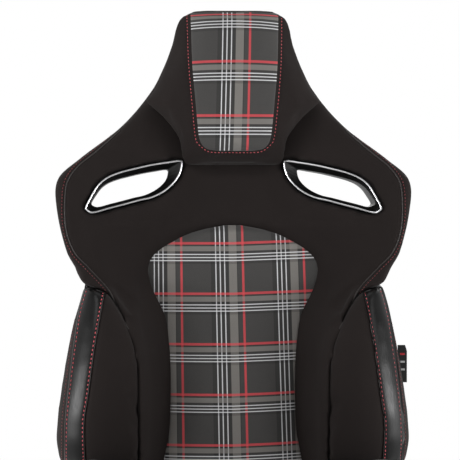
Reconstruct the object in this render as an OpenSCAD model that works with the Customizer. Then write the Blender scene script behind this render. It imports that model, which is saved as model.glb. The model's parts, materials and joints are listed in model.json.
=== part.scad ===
/* [Backrest outline] */
// Height of the top of the headrest above the recline pivot
back_top = 745; // [738:1:760]
// Height of the bolsters' lower ends above the pivot
bolster_low = 44; // [42:1:50]
// Width of the headrest near its top
head_w = 188; // [176:2:200]
// Width at the neck, under the headrest
neck_w = 252; // [240:2:264]
// Width across the shoulder wings
shoulder_w = 547; // [530:1:560]
// Width at the waist, under the wings
waist_w = 467; // [456:1:476]
// Width across the lower bolsters
hip_w = 549; // [540:1:560]

/* [Back padding] */
// Thickness of the flat middle of the back pad
pad_t = 40; // [34:1:46]
// Forward rise of the wings for each millimetre across
wing_slope = 0.27; // [0.22:0.01:0.3]
// Furthest forward reach of the lower bolsters
bolster_reach = 140; // [130:1:146]
// Thickness of the centre insert at its sewn edge
insert_edge_t = 6; // [4:1:8]
// Extra thickness of the centre insert at its crown
insert_crown = 14; // [8:1:18]
// Forward reach of the headrest pillow over the pad
pillow_t = 54; // [46:1:58]
// Thickness of the plaid cover panel on the pillow
panel_t = 3; // [2:0.5:4]
// Thickness of the leather strip on a bolster
strip_t = 2; // [1.5:0.5:3]

/* [Belt slots] */
// Width of the bright bead round a slot
bead_w = 3; // [2.5:0.5:4]
// Width of the through opening as a share of the slot
opening_w_share = 0.77; // [0.74:0.01:0.79]
// Height of the through opening as a share of the slot
opening_h_share = 0.61; // [0.56:0.01:0.64]
// Wall of the tunnel through the backrest
tunnel_wall = 3; // [2:0.5:4]

/* [Back frame] */
// Outside diameter of the frame tubes
tube_d = 22; // [20:1:23]
// Wall of the frame tubes
tube_wall = 1.5; // [1.2:0.1:2.5]
// Depth of the rear shell behind the pad
shell_depth = 48; // [46:1:54]
// Wall of the rear shell
shell_wall = 3; // [2:0.5:4]
// Thickness of the spring wires
wire_t = 3.5; // [3:0.5:4]

/* [Recliner] */
// Height of the recline pivot above the floor
pivot_z = 150; // [149:1:156]
// Distance of the recline pivot behind the middle of the rails
pivot_y = 200; // [199:1:206]
// Thickness of each recliner plate
plate_t = 4; // [3.5:0.25:4.5]
// Radius over the teeth of the recliner arm
tooth_r = 34; // [33:0.5:35]
// Height of a recliner tooth
tooth_h = 3; // [2:0.5:3]
// Angle from one recliner tooth to the next
tooth_pitch = 5; // [5, 6]
// Diameter of the pivot shaft
pivot_d = 16; // [14:1:17]
// Diameter of the cross shaft that the lever turns
sync_d = 10; // [8:1:11]
// Length of the lever from its shaft to its tip
lever_len = 130; // [110:5:150]

/* [Seat base] */
// Width across the seat bolsters
seat_w = 516; // [510:1:518]
// Height of the side frames' top edge
frame_top = 95; // [94:1:97]
// Height of the seat bolsters over the cushion's flat middle
thigh_rise = 44; // [40:1:58]
// Thickness of the pressed side frames
frame_t = 4; // [3:0.5:4]

/* [Slide rails] */
// Distance between the middles of the two rails
rail_gap = 385; // [385:1:387]
// Length of a lower rail
rail_len = 400; // [390:5:420]
// Width of a lower rail
rail_w = 44; // [43:0.5:46]
// Height of a lower rail
rail_h = 20; // [20:0.5:21]
// Wall of the rails
rail_wall = 2.5; // [2.3:0.1:2.8]
// Travel of the seat each way from the middle
slide_travel = 90; // [70:5:95]
// Front to rear distance between the mounting holes
hole_gap = 300; // [280:5:310]
// Diameter of the mounting holes, clear of an M8 bolt
hole_d = 8.5; // [8.4:0.1:9]
// Distance between the locking windows
window_pitch = 10; // [9:0.5:11]

/* [Hidden] */
$fn = 48;

seat_gap = 0.3;      // clearance of a piece that lies on another
run_gap = 0.05;      // radial clearance of a shaft in its bush
left = -1;
right = 1;

// Colours
suede = [0.15, 0.14, 0.14];
plaid = [0.34, 0.33, 0.33];
leather = [0.2, 0.18, 0.18];
black_steel = [0.12, 0.12, 0.13];
zinc = [0.68, 0.69, 0.7];
chrome = [0.85, 0.85, 0.86];
plastic = [0.1, 0.1, 0.1];
tag_black = [0.05, 0.05, 0.05];
bronze = [0.7, 0.55, 0.3];

// Smooth value at key k through a list of [key, value] pairs with rising keys
function mix(a, b, t) = a + (b - a) * t;
function ease(t) = let (c = min(max(t, 0), 1)) c * c * (3 - 2 * c);
function span(pts, k, i = 0) = (i >= len(pts) - 2 || k <= pts[i + 1][0]) ? i : span(pts, k, i + 1);
function curve(pts, k) =
    let (
        i = span(pts, k),
        a = pts[max(i - 1, 0)],
        b = pts[i],
        c = pts[i + 1],
        d = pts[min(i + 2, len(pts) - 1)],
        h = c[0] - b[0],
        t = min(max((k - b[0]) / h, 0), 1),
        m = (c[1] - a[1]) / (c[0] - a[0]) * h,
        n = (d[1] - b[1]) / (d[0] - b[0]) * h
    )
    b[1] * (2 * t * t * t - 3 * t * t + 1) + m * (t * t * t - 2 * t * t + t)
    + c[1] * (3 * t * t - 2 * t * t * t) + n * (t * t * t - t * t);
function line(pts, k) =
    let (i = span(pts, k), t = (k - pts[i][0]) / (pts[i + 1][0] - pts[i][0]))
    mix(pts[i][1], pts[i + 1][1], min(max(t, 0), 1));

// Corners of the convex outline round a list of discs [x, y, r]
function best_disc(discs, u, i = 0, b = 0) =
    i >= len(discs) ? b
    : best_disc(discs, u, i + 1,
        (discs[i][0] * u[0] + discs[i][1] * u[1] + discs[i][2]
        > discs[b][0] * u[0] + discs[b][1] * u[1] + discs[b][2]) ? i : b);
function around(discs, n = 48) = [
    for (k = [0 : n - 1])
    let (u = [cos(360 * k / n), sin(360 * k / n)], d = discs[best_disc(discs, u)])
    [d[0] + d[2] * u[0], d[1] + d[2] * u[1]]
];

// A closed outline moved inwards by d; its corners run anticlockwise
function unit(v) = v / norm(v);
function moved_in(p, d) = [
    for (i = [0 : len(p) - 1])
    let (
        n = len(p),
        e = unit(p[i] - p[(i + n - 1) % n]),
        f = unit(p[(i + 1) % n] - p[i]),
        a = [-e[1], e[0]],
        b = [-f[1], f[0]]
    )
    p[i] + d * (a + b) / (1 + a * b)
];

// A closed outline with smooth curves through its corners, n steps from each corner to the next
function smooth_ring(p, n) = [
    for (i = [0 : len(p) - 1])
    let (
        m = len(p),
        a = p[(i + m - 1) % m],
        b = p[i],
        c = p[(i + 1) % m],
        d = p[(i + 2) % m],
        h = norm(c - b),
        u = (c - a) / (norm(b - a) + h) * h,
        v = (d - b) / (h + norm(d - c)) * h
    )
    for (k = [0 : n - 1])
    let (t = k / n)
    b * (2 * t * t * t - 3 * t * t + 1) + u * (t * t * t - 2 * t * t + t)
    + c * (3 * t * t - 2 * t * t * t) + v * (t * t * t - t * t)
];
// Solid ring from the points of its section at each station
module ring_solid(stations) {
    n = len(stations);
    m = len(stations[0]);
    polyhedron(
        points = [for (g = stations) each g],
        faces = [
            for (i = [0 : n - 1]) for (s = [0 : m - 1])
            let (j = ((i + 1) % n) * m, t = (s + 1) % m)
            each [[i * m + s, i * m + t, j + t], [i * m + s, j + t, j + s]]
        ]
    );
}

// Closed solid between a near and a far grid of points. Cells in a hole [row, row, column, column]
// are left out of both grids and get walls.
function is_open(i, j, rows, cols, holes) =
    i < 0 || j < 0 || i > rows - 2 || j > cols - 2
    || len([for (h = holes) if (i >= h[0] && i < h[1] && j >= h[2] && j < h[3]) 1]) > 0;
function wall(a, b, far) = [[a, b, b + far], [a, b + far, a + far]];
function cell(i, j, rows, cols, holes) =
    let (a = i * cols + j, b = a + 1, d = a + cols, c = d + 1, far = rows * cols)
    concat(
        [[a, d, c], [a, c, b], [a + far, b + far, c + far], [a + far, c + far, d + far]],
        is_open(i - 1, j, rows, cols, holes) ? wall(a, b, far) : [],
        is_open(i + 1, j, rows, cols, holes) ? wall(c, d, far) : [],
        is_open(i, j - 1, rows, cols, holes) ? wall(d, a, far) : [],
        is_open(i, j + 1, rows, cols, holes) ? wall(b, c, far) : []
    );
module quilted(near, far, holes = []) {
    rows = len(near);
    cols = len(near[0]);
    polyhedron(
        points = concat([for (r = near) each r], [for (r = far) each r]),
        faces = [
            for (i = [0 : rows - 2]) for (j = [0 : cols - 2])
            if (!is_open(i, j, rows, cols, holes)) each cell(i, j, rows, cols, holes)
        ]
    );
}

// A row of points given from the middle outwards, mirrored into a full row
function mirrored(half) = concat(
    [for (k = [len(half) - 1 : -1 : 1]) [-half[k][0], half[k][1], half[k][2]]],
    half
);

// Places: the backrest is drawn round its pivot, and set on the seat here
module on_pivot() {
    translate([0, pivot_y, pivot_z]) children();
}
module both_sides() {
    children();
    mirror([1, 0, 0]) children();
}
// An outline in depth and height, made a plate from x0 to x1 on the right side
module side_plate(x0, x1, outline) {
    translate([x0, 0, 0]) rotate([90, 0, 90]) linear_extrude(x1 - x0) polygon(outline);
}
module rod_x(x0, x1, y, z, d) {
    translate([x0, y, z]) rotate([0, 90, 0]) cylinder(h = x1 - x0, d = d);
}
module rod_y(y0, y1, x, z, d) {
    translate([x, y0, z]) rotate([-90, 0, 0]) cylinder(h = y1 - y0, d = d);
}
module hex_x(x0, x1, y, z, w) {
    translate([x0, y, z]) rotate([0, 90, 0]) cylinder(h = x1 - x0, d = w, $fn = 6);
}

// ---- Backrest outline: half widths against height over the pivot ----
hip_z = 80;
waist_z = 322;
shoulder_z = 445;
neck_z = 620;
head_z = 690;
outline = [
    [bolster_low, hip_w / 2 - 7], [hip_z, hip_w / 2], [160, hip_w / 2 - 8.5], [250, waist_w / 2 + 16.5],
    [waist_z, waist_w / 2], [372, shoulder_w / 2 - 16], [shoulder_z, shoulder_w / 2],
    [485, shoulder_w / 2 - 5], [515, shoulder_w / 2 - 38], [565, neck_w / 2 + 46], [neck_z, neck_w / 2],
    [head_z, head_w / 2], [back_top - 15, head_w / 2 - 12], [back_top, head_w / 2 - 32]
];
function half_w(z) = curve(outline, z);

// Seam between the back pad and the outer bolsters, below the waist
seam = [
    [-45, 126], [-20, 138], [bolster_low, 147], [160, 147], [200, 149], [230, 154],
    [256, 164], [272, 171], [288, 180], [300, 188], [310, 198], [waist_z, waist_w / 2]
];
function pad_w(z) = z >= waist_z ? half_w(z) : line(seam, z);

// Half width of the centre insert
insert_top = 412;
insert_low = -38;
insert_outline = [
    [insert_low, 112], [0, 112], [50, 107], [90, 99], [135, 97], [185, 97], [220, 99], [255, 102],
    [276, 107], [311, 124], [342, 132], [360, 127], [375, 112], [387, 92], [398, 70], [406, 44],
    [insert_top, 12]
];
function insert_w(z) = curve(insert_outline, z);

// Reach of the lower bolsters, and forward rise of the pad at its outer edge
reach_share = [
    [bolster_low, 0.82], [hip_z, 0.93], [135, 0.99], [200, 1], [256, 0.94], [288, 0.87], [waist_z, 0.78]
];
function reach(z) = bolster_reach * curve(reach_share, z);
seam_share = 0.86;
flat_from = 60;
rise_outline = [
    [-45, 0], [-20, 8], [20, 35], [bolster_low, 58], [hip_z, 70], [135, 78], [200, 79], [256, 72],
    [288, 64], [waist_z, 57], [372, 60], [410, 58]
];
flat_outline = [[-45, 114], [bolster_low, 112], [hip_z, 106], [135, 101], [200, 101], [256, 106],
    [288, 116], [312, 127], [346, 135], [380, 134], [412, 100]];
slot_zone = [408, 432, 522, 620];
function plane_y(x) = -pad_t - wing_slope * max(0, abs(x) - flat_from);
function low_y(x, z) =
    let (e = curve(flat_outline, z), s = pad_w(z))
    -pad_t - curve(rise_outline, z) * pow(min(max((abs(x) - e) / (s - e), 0), 1), 1.2);
function pad_y(x, z) =
    z < slot_zone[1] ? mix(low_y(x, z), plane_y(x), ease((z - slot_zone[0]) / (slot_zone[1] - slot_zone[0])))
    : mix(plane_y(x), -pad_t, ease((z - slot_zone[2]) / (slot_zone[3] - slot_zone[2])));

// ---- Belt slots: the four sides of the right slot's opening in the pad ----
slot_top = [[74, 516], [100, 513], [128, 508.5], [154, 502.5], [178, 496], [197.5, 487.5]];
slot_low = [[123.5, 452], [144.5, 447], [168, 440.5], [193, 434], [219, 427.5], [233, 436]];
slot_in = [[99.5, 465.5], [81, 487]];
slot_out = [[223, 456.5], [211.5, 475.5]];
slot_edge = concat(
    [for (p = slot_low) p], slot_out, [for (k = [5 : -1 : 0]) slot_top[k]], [slot_in[1], slot_in[0]]
);

// Rows of the pad as [middle, inner, outer, side] anchors from the tail to the crown, each [x, z];
// a slot row has its own six points between inner and outer
low_rows = [-45, -20, 10, bolster_low, 80, 120, 160, 200, 230, 256, 272, 288, 300, 310, waist_z];
high_rows = [584, 603, neck_z, 655, head_z, back_top - 15, back_top - 5, back_top];
inner_at = [[-45, 111], [bolster_low, 109], [135, 98], [255, 102.5], [310, 125], [waist_z, 130]];
outer_at = [[-45, 114], [bolster_low, 128], [160, 124], [256, 136], [300, 152], [waist_z, 186]];
function spread(a, b, n) = [for (k = [0 : n]) mix(a, b, k / n)];
function anchors(c, a, b, s, mid = []) = concat(
    spread([0, c], a, 2), len(mid) > 0 ? mid : [for (k = [1 : 4]) mix(a, b, k / 5)], [b], [s]
);
function plain_row(z) = anchors(z, [line(inner_at, z), z], [line(outer_at, z), z], [pad_w(z), z]);
function high_row(z) = let (w = half_w(z)) anchors(z, [w * 0.35, z], [w * 0.7, z], [w, z]);
function edge_at(z) = [half_w(z), z];
wing_rows = [
    anchors(346, [134, 346], [196, 340], edge_at(342)),
    anchors(374, [125, 374], [208, 366], edge_at(362)),
    anchors(396, [98, 396], [216, 382], edge_at(378)),
    anchors(413, [104, 413], [221, 396], edge_at(390)),
    anchors(436, [120, 434], [227, 416], edge_at(408)),
    anchors(460, slot_low[0], slot_low[5], edge_at(428), [for (k = [1 : 4]) slot_low[k]]),
    anchors(476, slot_in[0], slot_out[0], edge_at(448)),
    anchors(494, slot_in[1], slot_out[1], edge_at(468)),
    anchors(516, slot_top[0], slot_top[5], edge_at(486), [for (k = [1 : 4]) slot_top[k]]),
    anchors(536, [72, 532], [180, 514], edge_at(508)),
    anchors(562, [62, 559], [150, 549], edge_at(540))
];
rows = concat(
    [for (z = low_rows) plain_row(z)], wing_rows, [for (z = high_rows) high_row(z)]
);
rows_under_slots = 5;
first_slot_row = len(low_rows) + rows_under_slots;
slot_cols = [2, 7];
half_cols = len(rows[0]);
// The slot cells of both sides in a full row of 2 * half_cols points with rounded edges
slot_holes = [
    [first_slot_row, first_slot_row + 3, half_cols + slot_cols[0], half_cols + slot_cols[1]],
    [first_slot_row, first_slot_row + 3, half_cols - slot_cols[1], half_cols - slot_cols[0]]
];

edge_r = 14;         // rounding of the pad's outer edge
module back_pad() {
    near = [
        for (r = rows)
        let (
            s = r[half_cols - 1],
            soft = s[1] > waist_z + 1 ? 1 : 0.2,
            shoulder = [s[0] - edge_r * 0.35, s[1]]
        )
        mirrored(concat(
            [for (k = [0 : half_cols - 2]) [r[k][0], pad_y(r[k][0], r[k][1]), r[k][1]]],
            [[shoulder[0], pad_y(s[0], s[1]) + edge_r * 0.3 * soft, s[1]]],
            [[s[0], pad_y(s[0], s[1]) + edge_r * soft, s[1]]]
        ))
    ];
    far = [
        for (r = rows)
        let (s = r[half_cols - 1], tuck = s[1] > waist_z + 1 ? 8 : 0)
        mirrored(concat(
            [for (k = [0 : half_cols - 2]) [r[k][0], 0, r[k][1]]],
            [[s[0] - edge_r * 0.35 - tuck, 0, s[1]]],
            [[s[0] - tuck, 0, s[1]]]
        ))
    ];
    color(suede) on_pivot() quilted(near, far, slot_holes);
}

insert_rows = [
    insert_low, -10, 20, 50, 90, 135, 185, 220, 255, 276, 296, 311, 326, 342, 352, 360, 368, 375,
    382, 387, 393, 398, 403, 407, insert_top
];
insert_cols = [-1, -0.94, -0.8, -0.6, -0.35, 0, 0.35, 0.6, 0.8, 0.94, 1];
function lumbar(z) = 10 * exp(-pow((z - 130) / 110, 2));
module back_insert() {
    back_y = -pad_t - seat_gap;
    color(plaid) on_pivot() quilted(
        [for (z = insert_rows) let (w = insert_w(z), full = min(1, w / 60)) [
            for (u = insert_cols)
            [w * u, back_y - insert_edge_t - (insert_crown + lumbar(z)) * full * (1 - pow(abs(u), 2.5)), z]
        ]],
        [for (z = insert_rows) let (w = insert_w(z)) [for (u = insert_cols) [w * u, back_y, z]]]
    );
}

// ---- Outer bolsters ----
// Rows as [inner height, outer height]; the top rows tuck under the wing's lower edge
bolster_rows = [
    [bolster_low, bolster_low], [58, 58], [80, 80], [120, 120], [160, 160], [200, 200], [230, 232],
    [256, 260], [272, 279], [288, 298], [300, 310], [307, 318]
];
// Across the bolster: share of its width, and share of its reach
bolster_section = [[0, 0.86], [0.2, 0.95], [0.4, 1], [0.58, 0.99], [0.76, 0.92], [0.9, 0.76], [0.97, 0.56],
    [1, 0.32], [0.95, 0]];
strip_cols = [3, 5];
function bolster_point(row, c) =
    let (
        f = bolster_section[c][0],
        zi = row[0],
        zo = row[1],
        z = mix(zi, zo, min(f, 1)),
        a = line(seam, zi) + 2 * seat_gap,
        b = half_w(zo) - (zo > 300 ? 2 : 0),
        low = ease((zi - bolster_low + 14) / 28)
    )
    [mix(a, b, f), -reach(z) * bolster_section[c][1] * mix(0.86, 1, low), z];
module back_bolster() {
    last = len(bolster_section) - 1;
    function rear_point(row, share) =
        let (a = bolster_point(row, 0), b = bolster_point(row, last))
        [mix(a[0], b[0], share), 0, mix(a[2], b[2], share)];
    color(suede) on_pivot() quilted(
        [for (r = bolster_rows) [for (c = [0 : last]) bolster_point(r, c)]],
        [for (r = bolster_rows) [for (c = [0 : last]) rear_point(r, 0.98 * c / last)]]
    );
}
module bolster_strip() {
    near_rows = [for (k = [0 : len(bolster_rows) - 2]) bolster_rows[k]];
    function out(row, c, d) =
        let (
            p = bolster_point(row, c),
            q = bolster_point(row, min(c + 1, len(bolster_section) - 1)),
            o = bolster_point(row, c - 1),
            t = unit([q[0] - o[0], q[1] - o[1]])
        )
        [p[0] + t[1] * d, p[1] - t[0] * d, p[2]];
    color(leather) on_pivot() quilted(
        [for (r = near_rows) [for (c = [strip_cols[0] : strip_cols[1]]) out(r, c, seat_gap + strip_t)]],
        [for (r = near_rows) [for (c = [strip_cols[0] : strip_cols[1]]) out(r, c, seat_gap)]]
    );
}

// ---- Headrest ----
pillow_low = 504;
pillow_w_at = [[pillow_low, 74], [515, 80], [545, 88], [575, 109], [603, 137], [neck_z, neck_w / 2 - 1]];
function pillow_w(z) = z < neck_z ? min(curve(pillow_w_at, z), half_w(z) - 1) : half_w(z) - 1;
pillow_share = [[pillow_low, 0.25], [512, 0.5], [528, 0.78], [560, 0.96], [610, 1], [head_z, 0.86],
    [back_top - 15, 0.55], [back_top, 0.3]];
pillow_rows = [pillow_low, 508, 516, 528, 545, 575, 603, 625, 655, head_z, 712, back_top - 15, back_top - 5,
    back_top - 1];
panel_half = 62;
pillow_edge_t = 6;
function pillow_xs(z) =
    let (w = pillow_w(z), a = min(panel_half, w * 0.8))
    [0, a / 3, a * 2 / 3, a, mix(a, w, 0.5), mix(a, w, 0.85), w];
function pillow_y(x, z) =
    pillow_back(x, z) - pillow_edge_t
    - (pillow_t - pillow_edge_t) * curve(pillow_share, z) * (1 - pow(abs(x) / pillow_w(z), 3.4));
valley_gap = 2.6;    // keeps the pillow's back clear of the pad's straight faces beside its middle
function pillow_back(x, z) = pad_y(x, z) - seat_gap - valley_gap * ease((abs(x) - 16) / 24);
module head_pillow() {
    color(suede) on_pivot() quilted(
        [for (z = pillow_rows) mirrored([for (x = pillow_xs(z)) [x, pillow_y(x, z), z]])],
        [for (z = pillow_rows) mirrored([for (x = pillow_xs(z)) [x, pillow_back(x, z), z]])]
    );
}
module head_panel() {
    low_row = 3;
    shown = [for (k = [low_row : len(pillow_rows) - 2]) pillow_rows[k]];
    function sheet(d) = [
        for (z = shown)
        let (xs = pillow_xs(z))
        mirrored([for (k = [0 : 3]) [xs[k], pillow_y(xs[k], z) - d, z]])
    ];
    color(plaid) on_pivot() quilted(sheet(seat_gap + panel_t), sheet(seat_gap));
}

module side_tag() {
    low = 168;
    high = 226;
    tag_w = 11;
    tag_t = 1.4;
    tag_y = -0.32 * reach(200);
    tag_low = half_w(low);
    tag_high = half_w(high);
    color(tag_black) on_pivot() translate([0, tag_y, 0]) rotate([90, 0, 0]) linear_extrude(tag_t) polygon([
        [tag_low + 1, low], [tag_low + tag_w, low], [tag_high + tag_w, high], [tag_high + 1, high]
    ]);
}

// ---- Slot trim ----
bead_gap = 2.2;      // bead inside the pad's opening
bead_r = bead_w / 2;
bead_proud = 0.6;    // the bead's middle over the pad's face
shell_back = shell_depth + shell_wall;
// The slot's outline with its two sharp corners cut back by a share of the way to their neighbours
blunt_share = 0.2;
slot_tips = [slot_low[5], slot_top[0]];
blunt_edge = [
    for (i = [0 : len(slot_edge) - 1])
    let (n = len(slot_edge), p = slot_edge[i], a = slot_edge[(i + n - 1) % n], b = slot_edge[(i + 1) % n])
    each (p == slot_tips[0] || p == slot_tips[1]) ? [mix(p, a, blunt_share), mix(p, b, blunt_share)] : [p]
];
slot_ring = smooth_ring(blunt_edge, 3);
bead_line = moved_in(slot_ring, bead_gap + bead_r);
// A point of the slot's outline at a depth under the pad's sloping face
function under_face(p, depth) = [p[0], plane_y(p[0]) + depth, p[1]];
module slot_bead() {
    last = len(bead_line) - 1;
    stations = [
        for (i = [0 : last])
        let (
            p = bead_line[i],
            t = unit(bead_line[(i + 1) % (last + 1)] - bead_line[(i + last) % (last + 1)]),
            inwards = [-t[1], t[0]]
        )
        [for (a = [0 : 45 : 315]) under_face(p + bead_r * cos(a) * inwards, -bead_proud + bead_r * sin(a))]
    ];
    color(chrome) on_pivot() ring_solid(stations);
}
slot_middle = [182, 463];
slot_slope = -0.236; // fall of the slot's middle line for each millimetre across
function slot_line(x) = slot_middle[1] + slot_slope * (x - slot_middle[0]);
opening = [
    for (p = slot_ring)
    let (x = mix(slot_middle[0], p[0], opening_w_share))
    [x, slot_line(x) + (p[1] - slot_line(p[0])) * opening_h_share]
];
tunnel_edge = moved_in(opening, -tunnel_wall);
module extruded_y(y0, y1) {
    translate([0, y1, 0]) rotate([90, 0, 0]) linear_extrude(y1 - y0) children();
}
// Funnel from under the bead to the tunnel, and the tunnel through to the rear bezel
funnel_depth = 17;
tunnel_end = shell_back + 4;
module slot_bezel() {
    lip_depth = bead_r - bead_proud + seat_gap;
    lip_edge = moved_in(slot_ring, bead_gap + 0.2);
    stations = [
        for (i = [0 : len(opening) - 1])
        let (inner = opening[i], outer = tunnel_edge[i])
        [
            under_face(lip_edge[i], lip_depth), under_face(bead_line[i], lip_depth),
            under_face(inner, funnel_depth), [inner[0], tunnel_end, inner[1]],
            [outer[0], tunnel_end, outer[1]], under_face(outer, funnel_depth + tunnel_wall)
        ]
    ];
    color(plastic) on_pivot() ring_solid(stations);
}
rear_lap = 5;        // reach of the rear bezel over the shell
module rear_bezel() {
    color(plastic) on_pivot() extruded_y(shell_back + seat_gap, shell_back + 3.5) difference() {
        polygon(moved_in(slot_ring, -rear_lap));
        polygon(moved_in(tunnel_edge, -seat_gap));
    }
}

// ---- Rear shell ----
shell_edge = 4;
function hump(u) = pow(max(1 - pow(abs(u), 6), 0), 1 / 6);
top_fades = [
    [0, 1], [head_z - 60, 1], [head_z - 10, 1], [back_top - 28, 0.86], [back_top - 10, 0.5],
    [back_top - 3, 0.02]
];
function top_fade(z) = curve(top_fades, z);
shell_low_rows = [bolster_low + 2, 80, 120, 160, 200, 250, 290, waist_z];
shell_high_rows = [600, 655, head_z, back_top - 28, back_top - 10, back_top - 3];
shell_rows = concat(
    [for (z = shell_low_rows) let (w = half_w(z)) anchors(z, [w * 0.5, z], [w * 0.8, z], [w, z])],
    wing_rows,
    [for (z = shell_high_rows) high_row(z)]
);
shell_slot_row = len(shell_low_rows) + rows_under_slots;
shell_us = [0.9, 0.96, 0.99, 1];
shell_half_cols = half_cols - 1 + len(shell_us);
module back_shell() {
    function skin(grow) = [
        for (r = shell_rows)
        let (w = r[half_cols - 1][0] - shell_edge - shell_wall, zs = r[half_cols - 1][1])
        mirrored(concat(
            [for (k = [0 : half_cols - 2]) [
                r[k][0],
                seat_gap + (shell_depth - seat_gap) * top_fade(r[k][1]) * hump(r[k][0] / w) + grow,
                r[k][1]
            ]],
            [for (u = shell_us) [
                (w + grow) * u,
                seat_gap + (shell_depth - seat_gap + grow) * top_fade(zs) * hump(u),
                mix(r[half_cols - 2][1], zs, (u - 0.8) / 0.2)
            ]]
        ))
    ];
    middle = shell_half_cols - 1;
    holes = [
        [shell_slot_row, shell_slot_row + 3, middle + slot_cols[0], middle + slot_cols[1]],
        [shell_slot_row, shell_slot_row + 3, middle - slot_cols[1], middle - slot_cols[0]]
    ];
    color(plastic) on_pivot() quilted(skin(0), skin(shell_wall), holes);
}

// ---- Backrest frame ----
tube_y = 14;
tube_r = tube_d / 2;
arm_x = 214;
arm_t = plate_t;
side_tube_x = arm_x - seat_gap - tube_r;
cross_z = 400;
tube_bottom = 52;
arm_top = 188;
bolt_zs = [95, 160];
bolt_d = 8;
bolt_gap = 0.2;
hex_w = 14;          // corner to corner
hex_t = 5;
nut_t = 6.5;
module pipe(p, q, d = tube_d, over = 0) {
    v = q - p;
    l = norm(v);
    translate(p) rotate([0, acos(v[2] / l), atan2(v[1], v[0])])
        translate([0, 0, -over]) cylinder(h = l + 2 * over, d = d);
}
module back_frame() {
    foot = [side_tube_x, tube_y, tube_bottom];
    knee = [side_tube_x, tube_y, cross_z];
    color(black_steel) on_pivot() difference() {
        union() {
            both_sides() pipe(foot, knee);
            pipe([-side_tube_x, tube_y, cross_z - tube_r], [side_tube_x, tube_y, cross_z - tube_r]);
            pipe([-side_tube_x, tube_y, hip_z - 10], [side_tube_x, tube_y, hip_z - 10]);
        }
        both_sides() pipe(foot, knee, tube_d - 2 * tube_wall, 1);
        for (z = bolt_zs) both_sides() rod_x(side_tube_x - tube_d, arm_x, tube_y, z, bolt_d + 2 * bolt_gap);
    }
}
neck_x = 52;
neck_top = 690;
bend_r = 30;
module head_frame() {
    low = cross_z + seat_gap;
    color(black_steel) on_pivot() union() {
        both_sides() pipe([neck_x, tube_y, low], [neck_x, tube_y, neck_top - bend_r]);
        both_sides() translate([neck_x - bend_r, tube_y, neck_top - bend_r]) rotate([90, 0, 0])
            rotate_extrude(angle = 90) translate([bend_r, 0]) circle(d = tube_d);
        pipe([bend_r - neck_x, tube_y, neck_top], [neck_x - bend_r, tube_y, neck_top]);
    }
}

// Flat snaking wire: corners of its outline, n half waves of the given pitch and height
function snake_line(n, pitch, height, arc = 6) = [
    for (k = [0 : n - 1]) for (a = [0 : arc])
    let (up = k % 2 == 0 ? 1 : -1, t = 180 * a / arc)
    [pitch * (k + 0.5) - pitch / 2 * cos(t), up * (height / 2 - pitch / 2 + pitch / 2 * sin(t))]
];
function beside(p, d) = [
    for (i = [0 : len(p) - 1])
    let (v = unit(p[min(i + 1, len(p) - 1)] - p[max(i - 1, 0)])) [p[i][0] - v[1] * d, p[i][1] + v[0] * d]
];
function reversed(p) = [for (i = [len(p) - 1 : -1 : 0]) p[i]];
module snake(n, pitch, height, end) {
    path = concat([[-end, 0]], snake_line(n, pitch, height), [[n * pitch + end, 0]]);
    linear_extrude(wire_t) polygon(concat(beside(path, -wire_t / 2), reversed(beside(path, wire_t / 2))));
}
back_wire_zs = [135, 200, 265, 330];
module back_springs() {
    inner = side_tube_x - tube_r;
    waves = 13;
    pitch = 26;
    color(zinc) on_pivot() for (z = back_wire_zs)
        translate([-waves * pitch / 2, tube_y + wire_t / 2, z]) rotate([90, 0, 0])
            snake(waves, pitch, 42, inner - waves * pitch / 2 - seat_gap);
}

// ---- Recliner ----
sync_y = -60;
sync_z = -66;
pin_y = -61;
pin_z = -12;
pin_d = 8;
plate_in = arm_x + arm_t + 1;
plate_out = plate_in + plate_t;
side_in = arm_x - 1 - frame_t;
bush_wall = 2;
stud_y = 31;
stud_z = 4;

// Toothed outline of the arm's disc; the teeth span the pawl over the whole recline
tooth_from = 150;
tooth_count = floor(150 / tooth_pitch);
arm_teeth = [
    for (k = [0 : tooth_count - 1]) for (c = [[0, 0], [0.3, 1], [0.5, 1], [0.8, 0]])
    let (a = tooth_from + tooth_pitch * (k + c[0]), r = tooth_r - tooth_h * (1 - c[1]))
    [r * cos(a), r * sin(a)]
];
module recliner_arm() {
    root_r = tooth_r - tooth_h;
    rim = [for (a = [-56 : 7 : 50]) [root_r * cos(a), root_r * sin(a)]];
    neck = [[28, 60], [28, arm_top - 6], [22, arm_top], [6, arm_top], [seat_gap, arm_top - 6], [seat_gap, 42], [-12, 29]];
    color(zinc) on_pivot() difference() {
        side_plate(arm_x, arm_x + arm_t, concat(arm_teeth, rim, neck));
        rod_x(arm_x - 1, arm_x + arm_t + 1, 0, 0, pivot_d);
        for (z = bolt_zs) rod_x(arm_x - 1, arm_x + arm_t + 1, tube_y, z, bolt_d + 2 * bolt_gap);
    }
}
module arm_bolts() {
    color(zinc) on_pivot() both_sides() for (z = bolt_zs) union() {
        hex_x(arm_x + arm_t, arm_x + arm_t + hex_t, tube_y, z, hex_w);
        rod_x(side_tube_x - tube_r - nut_t - 1.5, arm_x + arm_t, tube_y, z, bolt_d);
        hex_x(side_tube_x - tube_r - nut_t - 1, side_tube_x - tube_r - 1, tube_y, z, hex_w);
    }
}
shaft_out = plate_out + 12;
module pivot_shafts() {
    color(zinc) on_pivot() both_sides() union() {
        rod_x(side_in - 4.5, side_in - 0.5, 0, 0, pivot_d + 8);
        rod_x(side_in - 0.5, shaft_out, 0, 0, pivot_d);
    }
}
module pivot_bushes() {
    color(bronze) on_pivot() both_sides() for (b = [[side_in, frame_t], [plate_in, plate_t]]) difference() {
        rod_x(b[0], b[0] + b[1], 0, 0, pivot_d + 2 * bush_wall);
        rod_x(b[0] - 1, b[0] + b[1] + 1, 0, 0, pivot_d + 2 * run_gap);
    }
}
plate_bolts = [[-100, -90], [30, -78]];
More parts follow.
